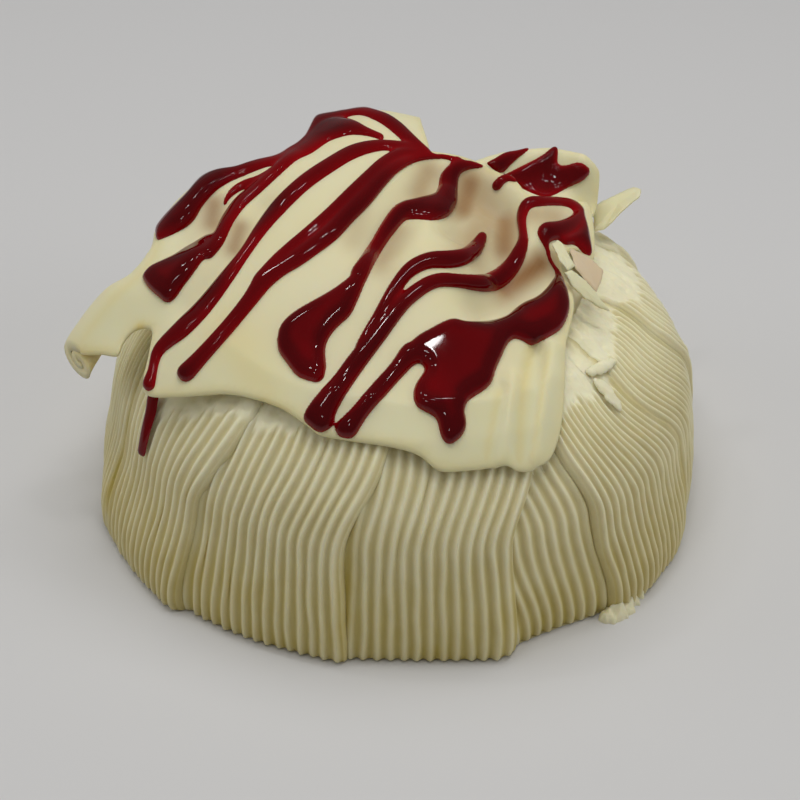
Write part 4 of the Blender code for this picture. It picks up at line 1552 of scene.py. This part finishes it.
@dataclass
class TroughSheet:
    """The curled sheet on the right, with a pool of sauce in its hollow."""

    form: RuffleForm
    edge: Tuple = (
        (64, 21), (66.5, 27), (67, 37), (64, 50), (57, 62), (44, 73), (28, 79), (13, 81), (5, 76),
        (4, 60), (6, 42),
    )
    rim: Tuple = ((22, 30, 9), (34, 37, 10), (48, 41, 10), (57, 38, 12), (63, 32, 14), (65, 25, 9))
    level: float = 98.0
    droop_start: float = 50.0
    droop: float = 0.20
    rim_width: float = 7.0
    tip: Tuple[float, float, float, float] = (9.0, 60.0, 9.0, 9.0)
    under_crest: float = 2.0
    rise_run: float = 12.0
    back_start: float = 34.0
    back_slope: float = 0.25
    fall: float = 0.020
    ripple: Tuple[float, float] = (1.2, 4.2)
    crest: Array = None

    def __post_init__(self) -> None:
        """Finds the crest of the big sheet, which it lies behind."""
        self.crest = VIEW.sight(CREST, self.form.height)

    def height(self, x: Array, y: Array) -> Array:
        """Height of its upper face.

        Args:
            x: first coordinates of the places.
            y: their second coordinates.

        Returns:
            The height at each place.
        """
        rim_line = smooth_line(self.rim, 4.0)
        away, place = line_distance(rim_line, x, y)
        rise = np.interp(place, range(len(rim_line)), rim_line[:, 2])
        rim = rise * np.exp(-((away / self.rim_width) ** 2))
        tx, ty, up, radius = self.tip
        tip = np.hypot(x - tx, y - ty) / radius
        back = self.fall * np.maximum(y - self.back_slope * x - self.back_start, 0.0) ** 2
        droop = self.droop * np.maximum(x - self.droop_start, 0.0)
        rise, run = self.ripple
        folds = rise * np.sin((x - 0.35 * y) / run) * blend(42.0, 58.0, y)
        free = self.level - droop + rim + up * np.exp(-tip * tip) - back + folds
        behind = y - np.interp(x, self.crest[:, 0], self.crest[:, 1])
        front = np.minimum(free, np.interp(x, self.crest[:, 0], self.crest[:, 2]) - self.under_crest)
        free = front + (free - front) * blend(0.0, self.rise_run, behind)
        rest = self.form.rest(x, y)
        return np.maximum(self.form.ease_up(free, rest), rest)

    def build(self) -> bpy.types.Object:
        """Makes the sheet.

        Returns:
            The piece.
        """
        crest = self.crest[:, :2] + np.array([0.0, 1.6])
        corners = [*crest, *np.array(self.edge, float), crest[0]]
        outline = smooth_line(corners, 1.2)[:-1]
        piece = DrapedSheet("chocolate_trough", outline, self.height).build(plain_marks)
        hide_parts("trough_sheet")
        return piece


# The sauce

@dataclass
class Drizzle:
    """Raspberry sauce in strands and pools, placed in the reference view."""

    form: RuffleForm
    outline: Array
    spacing: float = 0.6
    join: float = 2.6
    rounding: float = 4.6
    depths: Tuple = ((0.8, 0.9), (2.0, 1.9), (4.0, 2.8), (7.0, 3.2))
    pool_glow: float = 0.45
    grazing: float = -0.30
    grazing_end: float = 30.0
    seen_end: float = 60.0
    shift: Tuple[float, float] = (1.8, 1.2)
    strands: Tuple = (
        ((158, 236, 10), (171, 226, 19), (185, 215, 24), (196, 201, 20), (210, 185, 20), (226, 175, 18),
         (243, 170, 13), (263, 164, 9), (281, 159, 8), (296, 150, 10), (306, 140, 12)),
        ((210, 254, 12), (220, 241, 12), (229, 221, 12), (241, 204, 12), (256, 191, 11), (272, 177, 10),
         (295, 156, 11), (310, 147, 14), (325, 133, 20), (340, 128, 19), (354, 128, 14), (368, 132, 8),
         (384, 137, 5)),
        ((225, 206, 4), (228, 199, 5), (235, 191, 7), (247, 184, 7), (260, 179, 6), (275, 171, 6)),
        ((298, 146, 9), (310, 132, 14), (322, 122, 15), (335, 116, 13), (348, 112, 10), (362, 111, 8),
         (376, 115, 9), (389, 121, 11), (401, 130, 12), (412, 140, 11), (424, 149, 8)),
        ((150, 386, 13), (154, 371, 9), (160, 351, 11), (184, 329, 17), (207, 305, 16), (229, 277, 13),
         (246, 254, 10), (263, 229, 12), (281, 207, 15), (305, 184, 15), (331, 166, 14), (356, 152, 13),
         (382, 146, 10), (407, 147, 8), (428, 151, 6)),
        ((187, 374, 18), (203, 357, 15), (229, 328, 14), (251, 301, 15), (264, 282, 18),
         (277, 264, 14), (293, 248, 12), (312, 232, 12), (332, 214, 12), (352, 195, 13), (370, 178, 13),
         (386, 164, 13), (404, 154, 10), (430, 153, 6)),
        ((264, 282, 18), (282, 269, 16), (298, 259, 17), (315, 247, 17), (333, 233, 18), (349, 216, 18),
         (365, 200, 18), (381, 182, 16), (396, 169, 12), (415, 160, 8), (436, 157, 6), (462, 159, 4)),
        ((361, 274, 18), (378, 247, 14), (391, 227, 16), (404, 212, 18), (420, 209, 21), (443, 206, 27),
         (450, 190, 20), (451, 179, 19), (459, 169, 14), (472, 166, 9), (486, 167, 4)),
        ((484, 238, 11), (477, 250, 16), (465, 258, 17), (451, 260, 17), (431, 261, 16),
         (412, 270, 15), (396, 289, 13), (380, 318, 13), (371, 331, 11), (361, 346, 8)),
        ((549, 233, 20), (562, 230, 17), (575, 223, 14), (582, 212, 9), (573, 204, 8), (560, 202, 8),
         (545, 202, 9), (529, 204, 11), (523, 217, 10), (524, 230, 9), (525, 242, 11), (521, 254, 15),
         (514, 266, 18), (501, 279, 20), (485, 284, 18), (463, 282, 14), (441, 281, 14),
         (424, 288, 15), (404, 305, 15), (382, 333, 17), (360, 360, 20), (342, 385, 21),
         (326, 407, 27), (320, 419, 31)),
        ((348, 430, 23), (362, 412, 18), (380, 391, 18), (398, 371, 18), (412, 354, 22)),
        ((546, 243, 5), (550, 249, 5), (551, 258, 5), (556, 267, 5), (560, 273, 6)),
        ((498, 187, 11), (503, 181, 9), (511, 178, 7), (519, 181, 5)),
    )
    pools: Tuple = (
        ((143, 278), (151, 268), (163, 262), (176, 256), (184, 250), (196, 243), (212, 235), (218, 240),
         (210, 252), (200, 267), (190, 281), (183, 290), (177, 299), (169, 304), (160, 298), (149, 288)),
        ((278, 341), (281, 328), (289, 318), (301, 309), (317, 300), (331, 292), (344, 283), (357, 272),
         (367, 258), (373, 263), (370, 275), (365, 288), (360, 300), (352, 316), (340, 327), (331, 338),
         (327, 350), (328, 365), (326, 377), (320, 383), (310, 381), (298, 376), (287, 362), (280, 352)),
        ((404, 354), (412, 343), (421, 335), (432, 329), (443, 323), (455, 319), (466, 322), (480, 323),
         (495, 322), (508, 318), (516, 311), (526, 304), (538, 299), (548, 290), (556, 278), (560, 272),
         (564, 276), (568, 286), (571, 297), (572, 307), (569, 320), (562, 331), (550, 338), (540, 344),
         (533, 347), (526, 342), (516, 339), (509, 346), (504, 357), (498, 370), (494, 383), (486, 391),
         (476, 397), (468, 405), (467, 415), (469, 424), (466, 434), (458, 443), (450, 446), (444, 440),
         (441, 430), (438, 419), (428, 413), (418, 407), (415, 396), (417, 385), (423, 376), (427, 369),
         (423, 364), (413, 365), (402, 372)),
        ((584, 212), (588, 220), (592, 238), (594, 257), (586, 253), (577, 245), (567, 246), (562, 241),
         (574, 236), (581, 227)),
    )

    def reach(self, lines: Sequence[Array], x: Array, y: Array, join: float) -> Tuple[Array, Array]:
        """How far inside the nearest strand a place is.

        Args:
            lines: strands as rows of place and half width.
            x: first coordinates.
            y: second coordinates.
            join: distance over which neighbouring strands run together.

        Returns:
            The reach and the half width of the strand there.
        """
        total = np.full(np.shape(x), -1e3)
        wide = np.ones(np.shape(x))
        for line in lines:
            reach = np.full(np.shape(x), -1e3)
            half = np.ones(np.shape(x))
            for start, end in zip(line, line[1:]):
                along, away = stretch_distance(start, end, x, y)
                broad = start[2] + (end[2] - start[2]) * along
                half = np.where(broad - away > reach, broad, half)
                reach = np.maximum(reach, broad - away)
            total, near = merge(total, reach, join)
            wide = wide + (half - wide) * near
        return total, wide

    def build(self) -> bpy.types.Object:
        """Makes the drizzle on the big sheet.

        Returns:
            The piece.
        """
        low, high = self.outline.min(axis=0) - 1.0, self.outline.max(axis=0) + 1.0
        xs, ys = np.meshgrid(np.arange(low[0], high[0], self.spacing),
                             np.arange(low[1], high[1], self.spacing))
        base, normal = surface_grid(self.form.height, xs, ys, self.spacing)
        sight = np.array(VIEW.eye) - base
        least = np.where(ys < self.grazing_end, self.grazing, 0.0)
        facing = np.sum(normal * sight, axis=-1) > least * np.linalg.norm(sight, axis=-1)
        facing &= ys < self.seen_end
        middle = base + 0.5 * normal
        pixels = VIEW.project(middle.reshape(-1, 3)).reshape(*xs.shape, 2) + np.array(self.shift)
        seen = [smooth_line([(px, py, 0.5 * w) for px, py, w in s], 5.0) for s in self.strands]
        reach, half = self.reach(seen, pixels[..., 0], pixels[..., 1], self.join)
        for pool in self.pools:
            inside = ring_reach(pool, pixels[..., 0], pixels[..., 1])
            reach, near = merge(reach, inside, self.join)
            half = half + (self.rounding * VIEW.pixels_per_mm - half) * near
        reach, half = reach / VIEW.pixels_per_mm, half / VIEW.pixels_per_mm
        laid = []
        for line in seen:
            spots = VIEW.sight(line, self.form.height)
            laid.append(np.column_stack([spots[:, :2], line[:, 2] / VIEW.pixels_per_mm]))
        behind, half_behind = self.reach(laid, xs, ys, self.join / VIEW.pixels_per_mm)
        for pool in self.pools:
            behind = np.maximum(behind, ring_reach(VIEW.sight(pool, self.form.height)[:, :2], xs, ys))
        reach = np.where(facing, reach, behind)
        half = np.where(facing, half, half_behind)
        away = outline_distance(self.outline, xs, ys)
        edge = np.where(within(self.outline, xs, ys), away, -away)
        reach = np.minimum(reach, edge + 0.3)
        reach, half = soften(reach, 3), soften(half, 6)

        def thickness(inside: Array) -> Array:
            """Thickness, from the distance inside the outline."""
            full = np.interp(half, *zip(*self.depths))
            return full * rounded(inside / np.clip(half, self.depths[0][0], self.rounding))

        points, faces, depth = bead(base, normal, reach, thickness)
        steps = np.rint((points[:, :2] - (xs[0, 0], ys[0, 0])) / self.spacing).astype(int)
        rows, columns = (np.clip(steps[:, k], 0, xs.shape[1 - k] - 1) for k in (1, 0))
        glow = self.pool_glow * blend(0.5, 7.0, reach[rows, columns])
        piece = mesh_piece("sauce_drizzle", points, faces, SAUCE, "raspberry_sauce",
                           depth=np.clip(depth / 2.4 - glow, 0.0, 1.0))
        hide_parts("ruffled_sheet")
        return piece


@dataclass
class TroughPool:
    """The pool of sauce in the hollow of the curled sheet."""

    trough: TroughSheet
    spacing: float = 0.5
    depth: float = 1.6
    rounding: float = 3.0
    outside: float = -9.0
    pools: Tuple = (
        ((486, 163), (495, 158), (505, 153), (516, 151), (529, 149), (520, 157), (510, 166), (503, 173),
         (495, 171)),
        ((503, 175), (515, 169), (525, 164), (535, 159), (545, 153), (552, 148), (558, 149), (558, 163),
         (566, 165), (578, 162), (586, 165), (590, 172), (583, 181), (568, 188), (552, 196), (540, 196),
         (525, 190), (512, 182)),
    )

    def build(self) -> bpy.types.Object:
        """Makes the pool.

        Returns:
            The piece.
        """
        xs, ys = np.meshgrid(np.arange(10.0, 72.0, self.spacing), np.arange(8.0, 60.0, self.spacing))
        base, normal = surface_grid(self.trough.height, xs, ys, self.spacing)
        facing = np.sum(normal * (np.array(VIEW.eye) - base), axis=-1) > 0.0
        pixels = VIEW.project(base.reshape(-1, 3)).reshape(*xs.shape, 2)
        reach = np.full(xs.shape, self.outside)
        for pool in self.pools:
            inside = ring_reach(pool, pixels[..., 0], pixels[..., 1])
            reach = np.maximum(reach, inside / VIEW.pixels_per_mm)
        near = np.nonzero(facing & (reach > -1.0))
        first = VIEW.sight(pixels[near], self.trough.height)
        hidden = np.linalg.norm(first - base[near], axis=1) > self.spacing * 4.0
        reach[near[0][hidden], near[1][hidden]] = self.outside
        behind = ys - np.interp(xs, self.trough.crest[:, 0], self.trough.crest[:, 1]) - 2.2
        reach = np.where(facing, np.minimum(reach, behind), self.outside)

        def thickness(inside: Array) -> Array:
            """Thickness, from the distance inside the outline."""
            return self.depth * rounded(inside / self.rounding)

        points, faces, depth = bead(base, normal, reach, thickness)
        piece = mesh_piece("sauce_trough_pool", points, faces, SAUCE, "raspberry_sauce",
                           depth=np.clip(depth / self.depth, 0.0, 1.0))
        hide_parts("trough_sheet")
        return piece


@dataclass
class CoatDrip:
    """The drip that ran down the coat under the sheet's left end."""

    dots: Tuple = ((153, 399, 15), (151, 412, 14), (147, 427, 12), (144, 440, 11), (142, 451, 10))
    proud: float = 1.3
    rounding: float = 1.8
    lean: float = 0.55

    def build(self) -> bpy.types.Object:
        """Makes the drip as a flat bead on the coat.

        Returns:
            The piece.
        """
        spots = VIEW.sight(self.dots, COAT.height)
        half = np.array([d[2] for d in self.dots]) / (2.0 * VIEW.pixels_per_mm)
        line = smooth_line(np.column_stack([spots, half]), 1.0)
        steps = np.linalg.norm(np.diff(line[:, :3], axis=0), axis=1)
        length = np.concatenate([[0.0], np.cumsum(steps)])
        across = np.arange(-3.0, 3.01, 0.35)
        along = np.arange(-2.5, length[-1] + 2.5, 0.5)
        middle = np.stack([np.interp(along, length, line[:, k]) for k in range(4)], axis=1)
        past = along - np.clip(along, 0.0, length[-1])
        start, end = ((b - a) / np.linalg.norm(b - a) for a, b in (line[:2, :3], line[-2:, :3]))
        middle[:, :3] += np.where(past[:, None] < 0.0, past[:, None] * start, past[:, None] * end)
        down = unit(np.gradient(middle[:, :3], axis=0), 1e-6)
        out = unit(middle[:, :3] * np.array([1.0, 1.0, 0.0])) + np.array([0.0, 0.0, self.lean])
        side = unit(np.cross(down, out), 1e-6)
        base = middle[:, None, :3] + side[:, None, :] * across[None, :, None]
        normal = np.broadcast_to(unit(out)[:, None, :], base.shape)
        reach = middle[:, 3][:, None] - np.hypot(across[None, :], past[:, None])

        def thickness(inside: Array) -> Array:
            """Thickness, from the distance inside the outline."""
            return self.proud * rounded(inside / self.rounding)

        points, faces, depth = bead(base, normal, reach, thickness)
        piece = mesh_piece("sauce_coat_drip", points, faces, SAUCE, "raspberry_sauce",
                           depth=0.3 + 0.5 * depth / self.proud)
        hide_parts("cake")
        return piece


# Shards

@dataclass
class Shard:
    """A loose flake of chocolate through its corners, slightly bent."""

    node: str
    corners: Tuple
    bend: float
    thickness: float
    stain: float = 0.0
    spacing: float = 0.7
    unevenness: float = 0.18
    edge_rounding: float = 0.35
    shares: Tuple = (1.0, 0.97, 0.8, 0.55, 0.3, 0.1)

    def build(self) -> bpy.types.Object:
        """Makes the flake.

        Returns:
            The piece.
        """
        spots = []
        for px, py, level in self.corners:
            spots.append(VIEW.sight([(px, py)], lambda x, y, up=level: 0.0 * x + up)[0])
        spots = np.array(spots)
        centre = spots.mean(axis=0)
        _, _, axes = np.linalg.svd(spots - centre)
        if np.dot(axes[2], np.array(VIEW.eye) - centre) < 0.0:
            axes[2] = -axes[2]
        flat = (spots - centre) @ axes[:2].T
        lift = (spots - centre) @ axes[2]
        edge = []
        for a, b in zip(range(len(flat)), [*range(1, len(flat)), 0]):
            steps = max(2, int(np.linalg.norm(flat[b] - flat[a]) / self.spacing))
            for step in range(steps):
                t = step / steps
                edge.append((*(flat[a] + (flat[b] - flat[a]) * t), lift[a] + (lift[b] - lift[a]) * t))
        edge = np.array(edge)
        edge[:, :2] += self.unevenness * np.stack(
            [wander(edge[:, 0], edge[:, 1], 3.0, seed) for seed in (3, 4)], axis=1)
        long = np.ptp(edge[:, 0])
        rings = []
        for share in self.shares:
            flat_ring = edge[:, :2] * share
            out = edge[:, 2] * share + self.bend * (1.0 - (2.0 * flat_ring[:, 0] / long) ** 2)
            rings.append(centre + flat_ring @ axes[:2] + out[:, None] * axes[2])
        drops = [self.edge_rounding] + [0.0] * (len(rings) - 1)
        middle = (centre + axes[2] * self.bend)[None, :]
        upper = [ring - axes[2] * drop for ring, drop in zip(rings, drops)]
        lower = [ring - axes[2] * (self.thickness - drop) for ring, drop in zip(rings, drops)]
        points = np.concatenate([*upper, middle, *lower, middle - axes[2] * self.thickness])
        count, half = len(edge), len(points) // 2
        faces = cap_faces(len(rings), count) + cap_faces(len(rings), count, half)
        faces += [(s, (s + 1) % count, half + (s + 1) % count, half + s) for s in range(count)]
        marks = plain_marks(points)
        # The pink tint covers the whole flake.
        marks["stained"] += self.stain
        piece = mesh_piece(f"chocolate_{self.node}", points, faces, CHOCOLATE, "white_chocolate",
                           **marks)
        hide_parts(self.node)
        return piece


SHARDS = (
    Shard("shard_right", (
        (593, 208, 86.0), (617, 196, 88.0), (634, 187, 90.0), (641, 189, 90.3),
        (640, 197, 90.0), (624, 211, 88.0), (606, 228, 84.0), (594, 230, 84.0)), 1.0, 0.9),
    Shard("chip_upright", (
        (552, 243, 98.9), (557, 240, 99.5), (562, 243, 99.2), (568, 254, 97.4),
        (575, 266, 95.2), (568, 271, 94.4), (561, 263, 95.9), (556, 253, 97.4)), 0.4, 0.8),
    Shard("chip_folded", (
        (570, 247, 97.0), (588, 257, 94.2), (603, 271, 90.8), (601, 283, 89.0),
        (597, 292, 87.7), (586, 281, 90.5), (575, 268, 93.6)), 0.5, 0.7, 0.30),
    Shard("strip_long", (
        (565, 272, 95.0), (571, 270, 95.0), (585, 281, 91.6), (610, 311, 83.6),
        (600, 308, 84.8), (585, 299, 87.6), (572, 287, 91.2)), 0.7, 0.8),
)


# The studio

@dataclass
class Studio:
    """A pale floor and plain soft light."""

    floor_size: float = 6.0
    sky: str = "#e6e6e6"
    sky_strength: float = 0.18
    lamps: Tuple = (
        ("overhead", (0.10, 0.25, 1.6), 1.3, 1.3, 12.6, False),
        ("right_wall", (1.5, -0.35, 0.75), 1.0, 1.0, 4.6, False),
        ("left_wall", (-1.5, 0.0, 0.7), 0.8, 0.8, 2.9, False),
    )
    tube: Tuple[float, float, float] = (0.022, 0.10, 0.34)
    tubes: Tuple = (
        (-0.60, 0.25, 1.30), (-0.12, 0.10, 1.40), (0.30, -0.05, 1.40), (-0.45, -0.42, 1.30),
        (0.10, -0.45, 1.35), (-0.25, -0.85, 1.10),
    )

    def build(self) -> None:
        """Makes the floor and the lamps."""
        half = 0.5 * self.floor_size
        data = bpy.data.meshes.new("studio_floor")
        data.from_pydata([(-half, -half, 0), (half, -half, 0), (half, half, 0), (-half, half, 0)],
                         [], [(0, 1, 2, 3)])
        data.materials.append(PAPER.material())
        floor = bpy.data.objects.new("studio_floor", data)
        bpy.context.scene.collection.objects.link(floor)
        width, length, power = self.tube
        lamps = list(self.lamps)
        for number, (x, y, z) in enumerate(self.tubes):
            for side in (-1.0, 1.0):
                place = (x + 1.6 * side * width, y, z)
                lamps.append((f"tube_{number}", place, width, length, power, True))
        for name, place, width, length, power, mirrored in lamps:
            lamp = bpy.data.lights.new(name, "AREA")
            lamp.shape = "RECTANGLE"
            lamp.size = width
            lamp.size_y = length
            lamp.energy = power
            stand = bpy.data.objects.new(name, lamp)
            stand.visible_glossy = mirrored
            stand.location = place
            aim = Vector((0.0, 0.0, 0.05)) - Vector(place)
            stand.rotation_euler = aim.to_track_quat("-Z", "Y").to_euler()
            bpy.context.scene.collection.objects.link(stand)
        world = bpy.data.worlds.new("studio")
        world.use_nodes = True
        glow = world.node_tree.nodes["Background"]
        glow.inputs["Color"].default_value = linear(self.sky)
        glow.inputs["Strength"].default_value = self.sky_strength
        bpy.context.scene.world = world
        bpy.context.scene.view_settings.view_transform = "Standard"


def main() -> None:
    """Builds the cake's looks and the studio."""
    logging.basicConfig(level=logging.INFO, format="%(message)s")
    VIEW.add_camera()
    Studio().build()
    CreamCoat().build()
    ruffle = Ruffle()
    ruffle.build()
    Drizzle(ruffle.form, ruffle.outline()).build()
    BackSheet(ruffle.form).build()
    trough = TroughSheet(ruffle.form)
    trough.build()
    TroughPool(trough).build()
    CoatDrip().build()
    for shard in SHARDS:
        shard.build()


if __name__ == "__main__":
    main()
